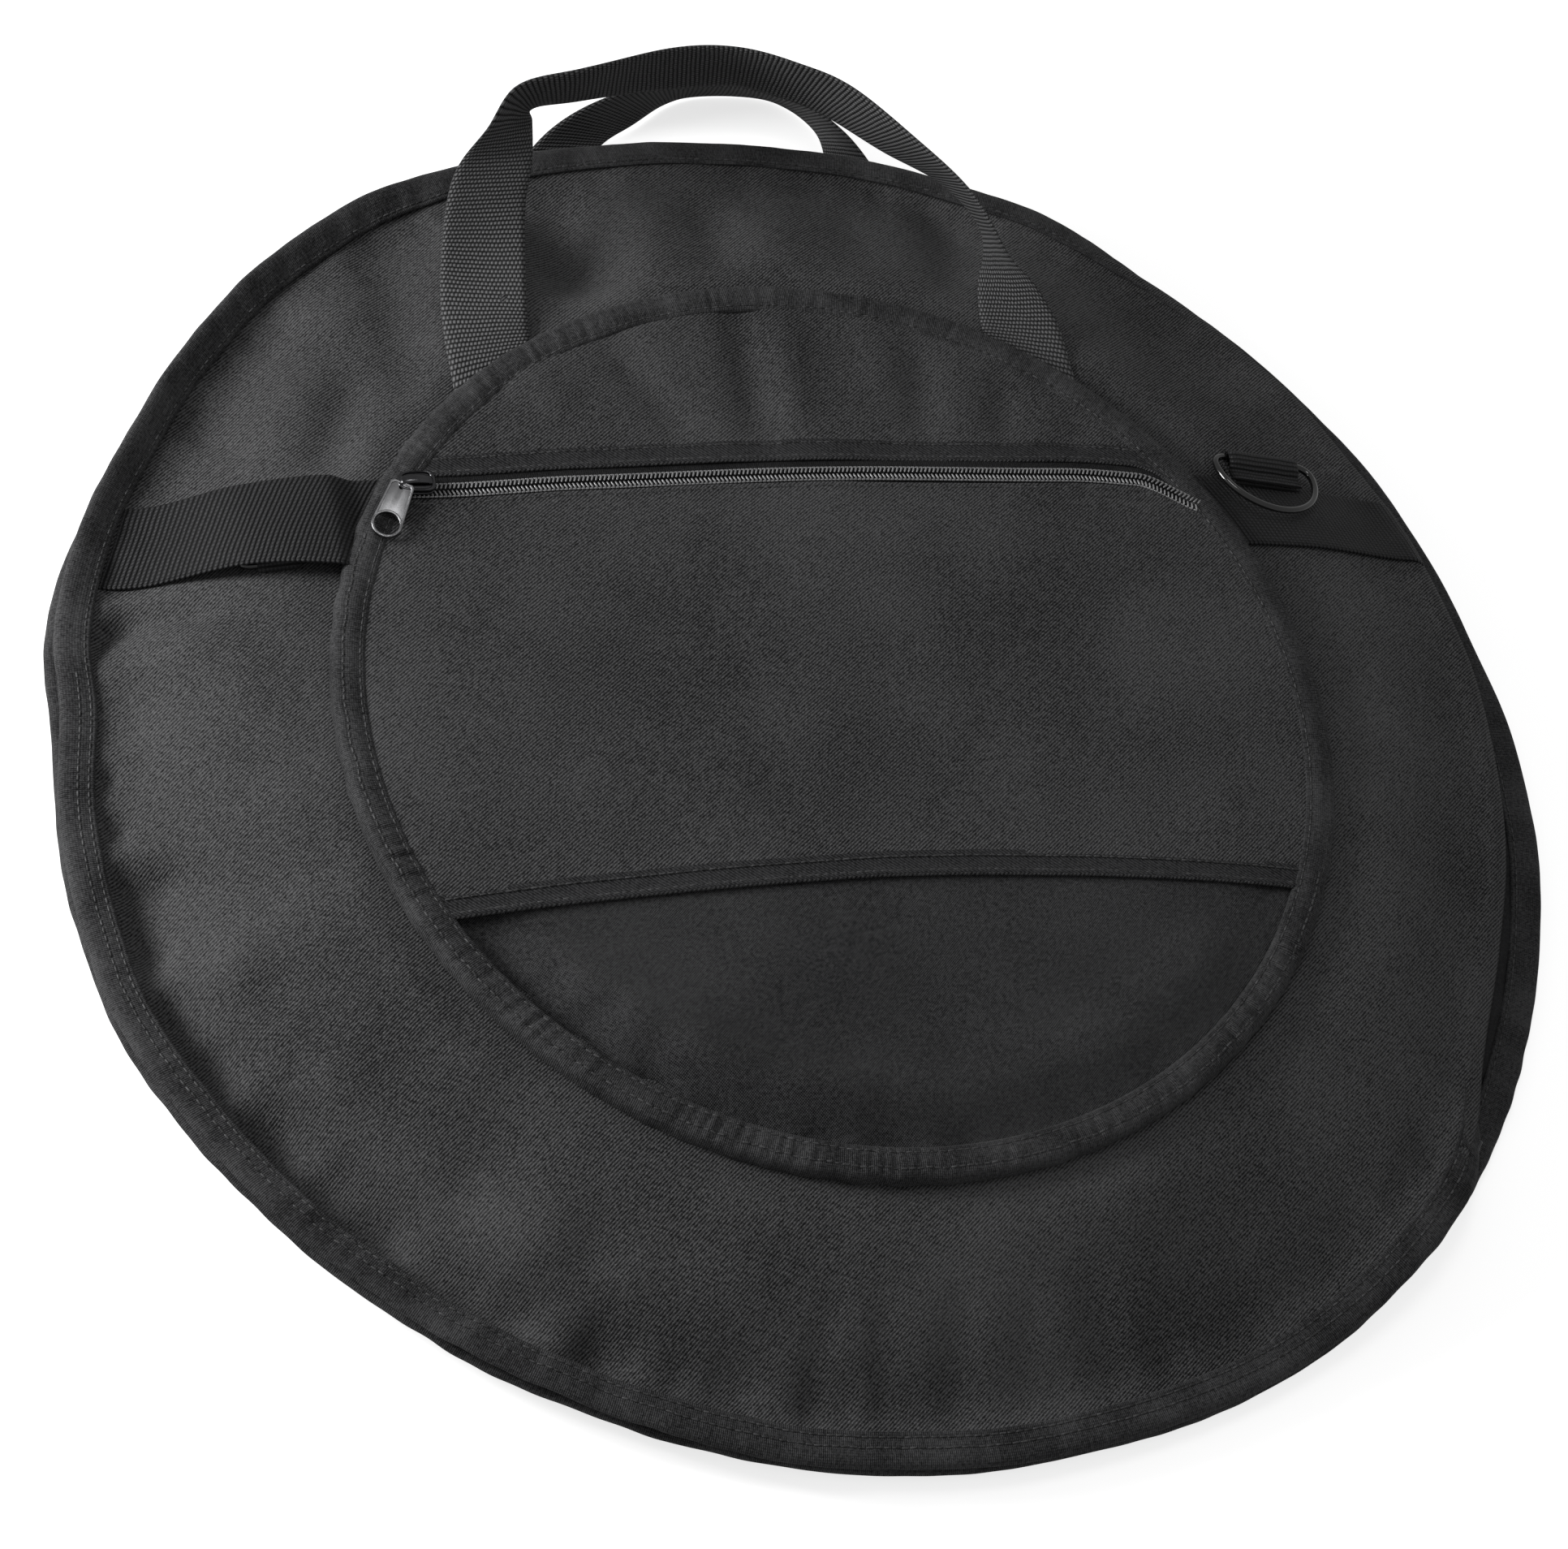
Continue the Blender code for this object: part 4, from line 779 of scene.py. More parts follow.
# Pocket
PANEL_R = POCKET_R - 6 * MM
PANEL_BASE = POCKET_TOP - 1.2 * MM
PANEL_SEAM_X = 0.178
LIP_UP, LIP_DOWN, LIP_WIDTH = 7.4 * MM, 4.0 * MM, 2.2 * MM  # panel edges beside the zip
CLOTH_THICK, OXFORD_THICK = 1.2 * MM, 1.1 * MM
ZIP_HEM, HEM = 9 * MM, 9.6 * MM  # depth of the upper panel's hem and the main panel's
LOWER_OVERLAP = 9 * MM
CHAIN_BOW = 3.2 * MM
CHAIN_DIPS = ((-1, 90, 60, 2.0), (1, 115, 60, 4.5), (1, 146, 30, 12))  # side, from, over, depth
HEM_RISE, HEM_SAG = 2 * MM, (0.26, 0.42)  # sag by the square of x, left and right
DOME, DOME_SWELLS = 3.4 * MM, ((60 * MM, 71, 0.6 * MM), (26 * MM, 72, 0.2 * MM))
# The lower panel's loft, its crease at the lower left and its gutter
LOWER_LEFT = (-120, 42)  # degrees: middle and width
LOFT, LEFT_LOFT, LEFT_CREASE, LOWER_GUTTER = 2.2 * MM, 4.0 * MM, 2.8 * MM, 4.0 * MM
LOWER_DROP = 1.5 * MM  # of the lower panel under the main one


def chain_y(x):
    """The zip bows up in the middle of the pocket and dips at its ends, most at the right."""
    dips = sum(depth * MM * smooth((side * x - start * MM) / (over * MM))
               for side, start, over, depth in CHAIN_DIPS)
    return CHAIN_Y + CHAIN_BOW * bell(x, 10 * MM, 85 * MM) - dips


def hem_y(x):
    """The hem of the main panel, lowest at its ends."""
    return HEM_Y + HEM_RISE - np.where(x < 0, *HEM_SAG) * x * x


def panel(name, low_line, high_line, rise, thick, look, slot, low_lip=0.0, high_lip=0.0):
    """Cloth between two lines, cut to the pocket's circle, as a thin closed slab."""
    even = np.linspace(0, 1, 90)
    x = np.linspace(-1, 1, 220) * PANEL_R * 0.9999
    bound = np.sqrt(np.maximum(PANEL_R ** 2 - x ** 2, 0))
    low, high = np.clip(low_line(x), -bound, bound), np.clip(high_line(x), -bound, bound)
    gap = high - low
    y = low + gap * (smooth(even) * 0.35 + even * 0.65)[:, None]
    lips = bell(y, low, LIP_WIDTH) * low_lip + bell(y, high, LIP_WIDTH) * high_lip
    flat_x = x + 0 * y
    height = rise(flat_x, y)
    top = np.stack([flat_x, y, height + lips], -1)
    under = np.stack([flat_x, y, height - thick], -1)
    side = np.array((0, 0.45 * thick, 0))
    loop = np.concatenate([top, (top[-1:] + under[-1:]) / 2 + side, under[::-1],
                           (top[:1] + under[:1]) / 2 - side])
    made = piece(name, skin(loop, wrap_rows=True, caps=True), look, slot, name + "_panel")
    return on_front(made)


def hem_band(made, line, depth):
    """Gives the folded hem beside a line its own cloth, whose weave runs the other way and whose
    darker colour is painted shade.
    """
    made.data.materials.append(SHADED_HEM_TWILL)
    centres = np.empty(len(made.data.polygons) * 3)
    made.data.polygons.foreach_get("center", centres)
    x, y = centres.reshape(-1, 3)[:, 0], centres.reshape(-1, 3)[:, 1]
    inside = (y > line(x)) & (y < line(x) + depth)
    made.data.polygons.foreach_set("material_index", inside.astype(np.int32))


def pocket_dome(x, y):
    """The pocket's cloth swells a little between its seams."""
    inside = np.clip(1 - (np.hypot(x, y) / POCKET_INNER_R) ** 2, 0, 1)
    to_zip = np.clip(np.abs(y - chain_y(x)) / (40 * MM), 0, 1)
    slow = sum(swell(x, y, size, seed) * height for size, seed, height in DOME_SWELLS)
    return DOME * inside ** 0.7 * smooth(to_zip) ** 0.8 + slow * inside ** 0.5


def upper_rise(x, y):
    """Height of the upper panel."""
    return PANEL_BASE + pocket_dome(x, y) + folded(x, y, UPPER_FOLDS) * MM


def main_rise(x, y):
    """Height of the main panel."""
    return PANEL_BASE + pocket_dome(x, y)


def lower_rise(x, y):
    """The lower panel puffs out and sinks beside the tape, most at its lower left."""
    angle = np.arctan2(y, x)
    degrees = np.degrees(angle)
    inward = POCKET_INNER_R - np.hypot(x, y)
    below = hem_y(x) - y
    lower_left = bell(degrees, *LOWER_LEFT)
    loft = (LOFT + LEFT_LOFT * lower_left) * bell(inward, 20 * MM, 15 * MM)
    crease = (LEFT_CREASE * lower_left * (1 + 0.4 * ripple(angle, 30, 60, 75))
              * bell(inward, 1 * MM, 6 * MM))
    puff = (loft - crease) * smooth((below - 6 * MM) / (28 * MM))
    turn = degrees % 360
    window = smooth((turn - 186) / 30) * (1 - 0.7 * smooth((turn - 262) / 40))
    gutter = LOWER_GUTTER * window * bell(inward, 7 * MM, GUTTER_WIDTH)
    folds = folded(x, y, LOWER_FOLDS) * 0.55 * MM * smooth((below - 8 * MM) / (20 * MM))
    return PANEL_BASE - LOWER_DROP + pocket_dome(x, y) * 0.9 + puff - gutter + folds


def pocket_panels():
    """Three cloths, two of them hemmed, and the seams of the hems."""
    def above_zip(x):
        return chain_y(x) + LIP_UP

    upper = panel("pocket_upper", above_zip, lambda x: 0 * x + PANEL_R, upper_rise, CLOTH_THICK,
                  POCKET_TWILL, "pocket_cloth", low_lip=0.7 * MM)
    hem_band(upper, above_zip, ZIP_HEM)
    main_cloth = panel("pocket_main", hem_y, lambda x: chain_y(x) - LIP_DOWN, main_rise,
                       CLOTH_THICK, POCKET_TWILL, "pocket_cloth", low_lip=0.8 * MM,
                       high_lip=0.7 * MM)
    hem_band(main_cloth, hem_y, HEM)
    panel("pocket_lower", lambda x: 0 * x - PANEL_R, lambda x: hem_y(x) + LOWER_OVERLAP,
          lower_rise, OXFORD_THICK, OXFORD, "pocket_lower_cloth")
    x = np.linspace(-PANEL_SEAM_X, PANEL_SEAM_X, 240)
    seams = []
    for line, offset, rise, lift in (  # the two edges at the zip, and the hem
            (chain_y, LIP_UP + 1.6 * MM, upper_rise, 0.27 * MM),
            (chain_y, LIP_UP + 7.6 * MM, upper_rise, 0),
            (chain_y, -LIP_DOWN - 1.8 * MM, main_rise, 0.24 * MM),
            (hem_y, 1.8 * MM, main_rise, 0.3 * MM), (hem_y, 7.8 * MM, main_rise, 0.3 * MM)):
        y = line(x) + offset
        inside = np.hypot(x, y) < POCKET_INNER_R + 1 * MM
        seams.append(np.stack([x, y, rise(x, y) + lift], -1)[inside])
    sewn("pocket_panel_stitches", seams, "pocket_cloth", on_front)


# Zips
COIL_PITCH, MAIN_PITCH = 1.75 * MM, 2.5 * MM
CHAIN_RIGHT = 171 * MM  # the pocket zip's right end, short of the CAD's
POCKET_TAPES = (("upper", 1, 14 * MM), ("lower", -1, 10 * MM))  # side of the zip, and width
POCKET_TAPE_THICK = 0.7 * MM
COIL_TURN, COIL_ROOT, MAIN_TURN = (  # length, thickness and sides of one bead
    (2.7 * MM, 0.84 * MM, 8), (1.7 * MM, 0.9 * MM, 6), (3.3 * MM, 1.8 * MM, 8))
TURN_OUT, ROOT_OUT, ROOT_DROP = 1.6 * MM, 2.9 * MM, 0.4 * MM  # from the pocket zip's middle
MAIN_TURN_OUT, MAIN_TURN_UP = 1.1 * MM, 1.25 * MM  # from the main zip's wall and its middle
COIL_LEAN, MAIN_LEAN = 0.42, 0.35  # of a turn along the zip
TUCK_IN = 15 * MM  # by which the tucked rim pulls the main zip inward
# Section of a main zip tape: distance outward in mm, and share of the way from root to teeth
MAIN_TAPE_OUT = np.array((-3.2, -1.6, -0.2, 0.35, 0.4, 0.4, 1.1, 1.1, 1.0, 0.6, -1.0, -3.2)) * MM
MAIN_TAPE_UP = np.array((0, 0, 0.05, 0.2, 0.6, 1.0, 1.0, 0.6, 0.1, -0.12, -0.16, -0.16))


def pocket_zip():
    """Woven tapes and two rows of coil turns that meet in the middle."""
    for name, side, far in POCKET_TAPES:
        x = np.linspace(-CHAIN_HALF - 14 * MM, CHAIN_RIGHT + 5 * MM, 200)
        across = np.linspace(0.3 * MM, far, 9)
        reach = across[:, None]
        top = np.stack([x + 0 * reach, chain_y(x) + side * reach,
                        TAPE_TOP + 0.15 * MM * np.sin(reach / far * 3) + 0 * x], -1)
        loop = np.concatenate([top, (top - UP * POCKET_TAPE_THICK)[::-1]])
        width = np.concatenate([across, across[::-1] + far, [2 * far]])
        on_front(piece("pocket_tape_" + name, strap_shape(loop, width, x), ZIP_TAPE, "zip_tape",
                       "pocket_zip_tape_" + name))
        x = np.linspace(-CHAIN_HALF - 10 * MM, CHAIN_RIGHT, 300)
        path = np.stack([x, chain_y(x), np.full(len(x), CHAIN_TOP - 0.65 * MM)], -1)
        centres, along = spaced(path, COIL_PITCH, 0.5 + 0.25 * side)
        sideways = np.cross(UP, along) * side
        turns = scattered(bead(*COIL_TURN), centres + sideways * TURN_OUT,
                          sideways + along * COIL_LEAN, UP)
        roots = scattered(bead(*COIL_ROOT), centres + sideways * ROOT_OUT - UP * ROOT_DROP,
                          along, UP)
        on_front(piece("pocket_coil_" + name, joined([turns, roots]), COIL_PAINTED_GLINT, "zip_coil",
                       "pocket_zip_teeth_" + name))


def main_zip():
    """Tape and coil of each half, standing at the rim between the bindings."""
    angles = np.radians(np.linspace(ZIP_START, ZIP_END, 436))
    tucked = tuck(angles)
    wall = TEETH_R - 2 * MM - TUCK_IN * tucked
    middle = (BACK_TEETH_FOOT + FRONT_TEETH_TOP) / 2
    tilt = np.tan(np.radians(around(angles, TURN_TABLE)))
    drop = np.clip((wall - front_edge(angles)) * tilt, -1 * MM, 3.5 * MM)
    front_root = FRONT_RIM_FOOT + 0.8 * MM - drop - 4 * MM * np.clip(tucked * 3, 0, 1)
    for name, root, tip, side, attach in (
            ("back", BACK_RIM_TOP - 0.6 * MM, BACK_TEETH_FOOT + 0.9 * MM, -1, on_back),
            ("front", front_root, FRONT_TEETH_TOP - 0.9 * MM, 1, on_front)):
        radii = wall + MAIN_TAPE_OUT[:, None]
        heights = root + (tip - root) * MAIN_TAPE_UP[:, None] + 0 * radii
        shape = skin(ring_grid(radii, heights, angles), wrap_rows=True, caps=True,
                     uv=ring_uv(radii, heights, angles, closed=False))
        attach(piece("main_tape_" + name, shape, ZIP_TAPE, "zip_tape", "main_zip_tape_" + name))
        path = ring_grid(wall + MAIN_TURN_OUT, middle + side * MAIN_TURN_UP, angles)
        centres, along = spaced(path, MAIN_PITCH, 0.5 + side * 0.2)
        turns = scattered(bead(*MAIN_TURN), centres, UP + along * MAIN_LEAN * side,
                          centres * (1, 1, 0))
        attach(piece("main_coil_" + name, turns, COIL_PAINTED_GLINT, "zip_coil", "main_zip_teeth_" + name))


# Webbing
SEWN_END = 60 * MM  # over which a strap's warp rises from its sewn ends
# Waves of that warp: tilting a strap, and arching it; length in mm, start and height
SWAY, BELLY = ((17, 1.3, 0.5), (37, 0.4, 1)), ((26, 2.0, 0.6), (11, 0, 0.36))


def eased(points, count):
    """Catmull-Rom curve through the points."""
    padded = np.vstack([2 * points[0] - points[1], points, 2 * points[-1] - points[-2]])
    where = np.linspace(0, len(points) - 1 - 1e-9, count)
    base = where.astype(int)
    t = (where - base)[:, None]
    a, b, c, d = (padded[base + k] for k in range(4))
    return 0.5 * (2 * b + (c - a) * t + (2 * a - 5 * b + 4 * c - d) * t ** 2
                  + (3 * b - a - 3 * c + d) * t ** 3)


def webbing(name, outer, inner, look, replaced, count, thick=WEB, warp=0.0):
    """A woven strap between two edge lines, with rounded edges, that sways by a warp."""
    first, last = eased(outer, count), eased(inner, count)
    centre = (first + last) / 2
    shares = np.linspace(0, 1, 15)
    lane = (2 * shares - 1)[:, None]
    normal = np.cross(last - first, np.gradient(centre, axis=0))
    normal /= np.linalg.norm(normal, axis=1, keepdims=True)
    width = np.linalg.norm(last - first, axis=1).mean()
    run = np.concatenate([[0], np.cumsum(np.linalg.norm(np.diff(centre, axis=0), axis=1))])
    free = smooth(run / SEWN_END) * smooth((run[-1] - run) / SEWN_END)
    sway, belly = (sum(height * np.sin(run / (length * MM) + start)
                       for length, start, height in table) for table in (SWAY, BELLY))
    bent = (warp * free * (sway * lane + belly * (1 - lane ** 2)))[..., None] * normal
    rounded = np.sqrt(np.clip(1 - lane ** 8, 0, 1))
    bulge = (thick / 2 * (0.35 + 0.65 * rounded))[..., None] * normal
    flat = first + (last - first) * shares[:, None, None] + bent
    loop = np.concatenate([flat + bulge, (flat - bulge)[::-1]])
    across = np.concatenate([shares * width, width + shares * width + thick,
                             [2 * width + 2 * thick]])
    return piece(name, strap_shape(loop, across, run), look, "webbing", replaced)


# The two edges of each handle, in mm
FRONT_OUTER = (
    (-133, 146, 41.2), (-133, 165, 41.3), (-133, 180, 41.4), (-131.5, 204, 43.5),
    (-126, 235, 51), (-119, 254, 56), (-106.5, 268, 63), (-95, 280, 78), (-68, 287, 82),
    (-29, 296, 82), (1.3, 296.6, 81.5), (26.3, 289, 81.5), (48.5, 277.4, 80.5),
    (74, 251.7, 76), (93, 232.2, 72), (104, 219, 66), (113, 210, 56), (123, 200, 48),
    (131, 185, 42.5), (133, 165, 41.3), (133, 146, 41.2))
FRONT_INNER = (
    (-98, 166, 41.2), (-98, 173, 41.3), (-98, 182, 41.4), (-96.5, 201, 43.8), (-91, 241, 45),
    (-85.5, 262, 48), (-81, 285, 47), (-79, 291, 47), (-60, 293, 48), (-21, 302, 48),
    (8.6, 306, 48), (29.2, 300, 48), (47, 291, 48), (71, 273, 47), (93.8, 257, 45),
    (106, 237, 42), (105, 221, 41), (101, 207, 41.5), (98, 188, 41.4), (98, 174, 41.3),
    (98, 166, 41.2))
BACK_OUTER = (
    (-95, 245, 1.6), (-92, 262, 1.8), (-84, 283, 3), (-69, 303, 10), (-49, 313, 21),
    (-22, 319, 29), (5, 321, 31), (30, 320, 30), (50, 313, 28), (66, 302, 22), (80, 290, 11),
    (90, 276, 3), (94, 262, 1.8), (95, 245, 1.6))
BACK_INNER = (
    (-60, 245, 1.3), (-58, 262, 1.3), (-51, 289, 1.4), (-38, 309, 1.4), (-22, 321, 1.4),
    (-6, 332, 1.4), (10, 336, 1.4), (36, 335, 1.4), (50, 329, 1.4), (61, 317, 1.4),
    (63, 303, 1.4), (61, 286, 1.4), (60, 262, 1.3), (60, 245, 1.3))


def handles():
    """Two carrying handles: flat at their sewn ends and turned on edge at the top."""
    made = webbing("front_carry_handle", np.array(FRONT_OUTER) * MM, np.array(FRONT_INNER) * MM,
                   HANDLE_WEB, "front_handle", 420, warp=1.5 * MM)
    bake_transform(made)
    made = webbing("back_carry_handle", np.array(BACK_OUTER) * MM, np.array(BACK_INNER) * MM,
                   HANDLE_WEB, "back_handle", 360, warp=1.2 * MM)
    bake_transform(made)


# By which the upper and lower edge of each band leave the CAD's, in mm: at the pocket and the rim
BANDS = (("left", -1, (2.5, 4.0), (-4.0, 4.0)), ("right", 1, (-1, -5), (0, 1)))
BAND_LIFT = 6.6 * MM  # of the left band over the ring that lies below it
BAND_UNDER_POCKET, BAND_UNDER_RIM = 2 * MM, 1.5 * MM


def cross_bands():
    """Webbing from the rim to the pocket on each side, sewn under both bindings."""
    width = BAND_HIGH - BAND_LOW
    shares = np.linspace(0, 1, 17)[:, None]
    steps = np.linspace(0, 1, 120)
    for name, side, tops, lows in BANDS:
        high, low = (edge + (near * (1 - steps) + far * steps) * MM
                     for edge, (near, far) in ((BAND_HIGH, tops), (BAND_LOW, lows)))
        y = high + (low - high) * shares
        start = np.sqrt((POCKET_R - BAND_UNDER_POCKET) ** 2 - y ** 2)
        rim = front_edge(np.arctan2(y, side * start)) + BAND_UNDER_RIM
        end = np.sqrt(rim ** 2 - y ** 2)
        x = side * (start + (end - start) * steps)
        lift = 0.45 * MM + WEB * (1 - 0.7 * smooth((steps - 0.9) / 0.1))
        if side < 0:
            lift = lift + BAND_LIFT * smooth((0.262 + x) / 0.04) * smooth((-x - 0.178) / 0.014)
        lift = lift + 0.4 * MM * np.sin(np.pi * shares)
        top = np.stack([x, y, front_height(x, y) + lift], -1)
        rounded = np.array((0, 0.5 * MM, -WEB / 2))
        loop = np.concatenate([top, top[-1:] + rounded * (1, -1, 1), (top - UP * WEB)[::-1],
                               top[:1] + rounded])
        across = np.concatenate([shares[:, 0], [1.02], 1.04 + shares[:, 0], [2.06, 2.08]]) * width
        shape = strap_shape(loop, across, abs(end - start).mean() * steps)
        on_front(piece("front_band_" + name, shape, BAND_WEB, "webbing", "cross_band_" + name))


# Strap rings: half the bar's length, depth of the D and half the loop's width
RING_SIZES = {"left": (16 * MM, 19 * MM, 8 * MM), "right": (24.5 * MM, 28 * MM, 17.5 * MM)}
RING_CORNER, RING_WIRE = 6 * MM, 3.0 * MM
LEFT_RING_SHIFT = np.array((0, 3.5, -1.5)) * MM  # drawn this far from the CAD's ring
LOOP_THICK = 1.2 * MM


def joint(name):
    return next(j for j in frame["joints"] if j["name"] == name)


def node_points(name):
    item = frame["nodes"][name]
    return np.array([item.matrix_world @ v.co for v in item.data.vertices])


def main_axes(points):
    """The directions in which points spread the most, the second most and the least."""
    return np.linalg.svd(points - points.mean(0), full_matrices=False)[2]


def ring_frame(name):
    """Origin and axes of a ring's bar: along it, towards its bow, and out of its face."""
    hinge = joint(name + "_swing")
    points = node_points(name)
    normal = main_axes(points)[2]
    normal *= np.sign(normal[2])
    bar = np.array(hinge["axis"])
    bar = bar - normal * (bar @ normal)
    bar /= np.linalg.norm(bar)
    bow = np.cross(bar, normal)
    origin = np.array(hinge["pos_m"])
    bow *= np.sign((points.mean(0) - origin) @ bow)
    return origin, bar, bow, normal


def d_path(half, depth):
    """Centre line of a D in its own plane: along the bar, and towards the bow."""
    straight = half - RING_CORNER
    quarter = np.linspace(0, math.pi / 2, 7)[1:]
    turned = [(straight + RING_CORNER * math.sin(t), RING_CORNER * (1 - math.cos(t)))
              for t in quarter]
    line = [(straight * s, 0.0) for s in np.linspace(-1, 1, 13)] + turned
    line += [(half * math.cos(t), RING_CORNER + (depth - RING_CORNER) * math.sin(t))
             for t in np.linspace(0, math.pi, 48)[1:-1]]
    return np.array(line + [(-x, y) for x, y in reversed(turned)])


def tube(path, thick):
    """Round wire along a closed path."""
    travel = np.roll(path, -1, 0) - np.roll(path, 1, 0)
    travel /= np.linalg.norm(travel, axis=1, keepdims=True)
    plane = np.cross(path[len(path) // 3] - path[0], path[2 * len(path) // 3] - path[0])
    plane /= np.linalg.norm(plane)
    out = np.cross(travel, plane)
    turn = (np.arange(WIRE_SIDES) * 2 * math.pi / WIRE_SIDES)[:, None, None]
    return skin(path + thick / 2 * (np.cos(turn) * out + np.sin(turn) * plane),
                wrap_rows=True, wrap_columns=True)


def strap_rings():
    """Black wire D-rings, each held by a loop of webbing sewn to the front."""
    for label, (half, depth, loop_half) in RING_SIZES.items():
        origin, bar, bow, normal = ring_frame("d_ring_" + label)
        origin = origin + LEFT_RING_SHIFT * (label == "left")
        line = d_path(half, depth)
        made = piece("strap_ring_" + label,
                     tube(origin + line[:, :1] * bar + line[:, 1:] * bow, RING_WIRE),
                     RING_BLACK, "black_wire", "d_ring_" + label)
        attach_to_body(made, "d_ring_" + label)
        eye = RING_WIRE / 2 + LOOP_THICK
        course = [(12 * MM, -eye - 0.2 * MM), (5 * MM, -eye)]
        course += [(eye * math.cos(t), eye * math.sin(t))
                   for t in np.radians(np.linspace(-90, -270, 9))]
        course += [(4.2 * MM, eye * 0.55), (7 * MM, -0.8 * MM), (12 * MM, -eye + 1.9 * MM)]
        course = np.array(course)
        centre = origin + course[:, :1] * bow + course[:, 1:] * normal
        on_front(webbing("ring_loop_" + label, centre - bar * loop_half, centre + bar * loop_half,
                         BAND_WEB, "d_ring_loop_" + label, 90, thick=LOOP_THICK))


# Cast metal
POCKET_SLIDER_SHIFT = np.array((-2.0, -2.4, 0)) * MM  # drawn this far from the CAD's
TAB_BACK = -2.2 * MM  # where a pull begins, behind its hinge
TAB_RIM, TAB_PLATE_THICK, TAB_RIM_THICK = 0.95 * MM, 1.1 * MM, 1.9 * MM
TAB_RING = 1.1 * MM  # width of the ring at a pull's end
TAB_NECK = 0.8  # half width of a pull at its hinge, as a share of its end's
SLIDER_DECK = 0.42  # height of a slider's upper plate, as a share of the slider's
SLIDER_PLATE, SLIDER_RIM, SLIDER_RIM_THICK = 1.3 * MM, 1.1 * MM, 2.0 * MM


def cut_plate(loops, thick, edge, level=0.0):
    """A flat plate with rounded edges from closed outlines; inner ones are holes."""
    data = bpy.data.curves.new("plate", "CURVE")
    data.dimensions, data.fill_mode = "2D", "BOTH"
    data.extrude, data.bevel_depth, data.offset = thick / 2 - edge, edge, -edge
    data.bevel_resolution = 2
    for loop in loops:
        line = data.splines.new("POLY")
        line.points.add(len(loop) - 1)
        zero = 0 * loop[:, 0]
        line.points.foreach_set("co", np.column_stack([loop, zero, zero + 1]).ravel())
        line.use_cyclic_u = True
    holder = bpy.data.objects.new("plate", data)
    mesh = bpy.data.meshes.new_from_object(holder)
    bm = bmesh.new()
    bm.from_mesh(mesh)
    bmesh.ops.remove_doubles(bm, verts=bm.verts, dist=1e-6)
    points = np.array([v.co for v in bm.verts])
    faces = [[v.index for v in face.verts] for face in bm.faces]
    bm.free()
    bpy.data.objects.remove(holder)
    bpy.data.curves.remove(data)
    bpy.data.meshes.remove(mesh)
    return points + UP * level, faces, None


def rod(path, wide, thick):
    """A rounded bar along an open path in the XZ plane, with a thickness at each point."""
    travel = np.gradient(path, axis=0)
    travel /= np.linalg.norm(travel, axis=1, keepdims=True)
    out = np.stack([-travel[:, 2], 0 * travel[:, 0], travel[:, 0]], -1)
    turn = np.arange(WIRE_SIDES) * 2 * math.pi / WIRE_SIDES
    c, s = (np.sign(v) * np.abs(v) ** 0.7 for v in (np.cos(turn), np.sin(turn)))
    grid = (path + c[:, None, None] * wide / 2 * np.array((0, 1, 0))
            + s[:, None, None] * thick[:, None] / 2 * out)
    return skin(grid, wrap_rows=True, caps=True)


def placed(shape, origin, *axes):
    """A shape moved from its own X, Y and Z to three directions at a place."""
    return origin + shape[0] @ np.array(axes), shape[1], None


def spread(name, origin, axes):
    """Lowest and highest reach of a CAD node along three directions from a place."""
    reach = (node_points(name) - origin) @ np.array(axes).T
    return reach.min(0), reach.max(0)


def arc(radius, centre, start, turns, count):
    """Points of a circle about a place on X."""
    turn = start + turns * np.arange(count)
    return np.stack([centre + radius * np.cos(turn), radius * np.sin(turn)], -1)


def disc(radius, centre):
    return arc(radius, centre, 0, 2 * math.pi / 40, 40)


def tab_outline(length, neck, end, inset=0.0):
    """Outline of a pull tab along X: a flaring plate that ends in a half circle."""
    tip = arc(end - inset, length - end, -math.pi / 2, math.pi / 27, 28)
    back = TAB_BACK + inset
    root = np.array([(back + 1 * MM, neck - inset), (back, neck - inset - 1 * MM)])
    return np.vstack([tip, root, root[::-1] * (1, -1)])


def zip_pull(name, cad, body, shift=0.0):
    """Cast tab with a raised rim, a boss and a ring end, hanging where the CAD tab hangs."""
    origin = np.array(joint(body + "_swing")["pos_m"])
    points = node_points(cad)
    axes = main_axes(points)
    along = axes[0] * np.sign((points.mean(0) - origin) @ axes[0])
    normal = axes[2] * np.sign(axes[2][2] if abs(axes[2][2]) > 0.5 else axes[2] @ origin)
    side = np.cross(normal, along)
    low, high = spread(cad, origin, (along, side, normal))
    length, end = high[0], (high[1] - low[1]) / 2
    neck = end * TAB_NECK
    middle = origin + side * (low[1] + high[1]) / 2 + normal * (low[2] + high[2]) / 2 + shift
    outer, hole = tab_outline(length, neck, end), disc(end - TAB_RING, length - end)
    inner = tab_outline(length, neck, end, TAB_RIM)
    parts = [cut_plate([outer, hole, disc(0.9 * MM, 0.2 * MM)], TAB_PLATE_THICK, 0.2 * MM),
             cut_plate([outer, inner], TAB_RIM_THICK, 0.3 * MM),
             cut_plate([disc(end - 0.05 * MM, length - end), hole], TAB_RIM_THICK, 0.3 * MM)]
    made = piece(name, placed(joined(parts), middle, along, side, normal), PULL_GREY,
                 "pull_metal", cad)
    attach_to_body(made, body)


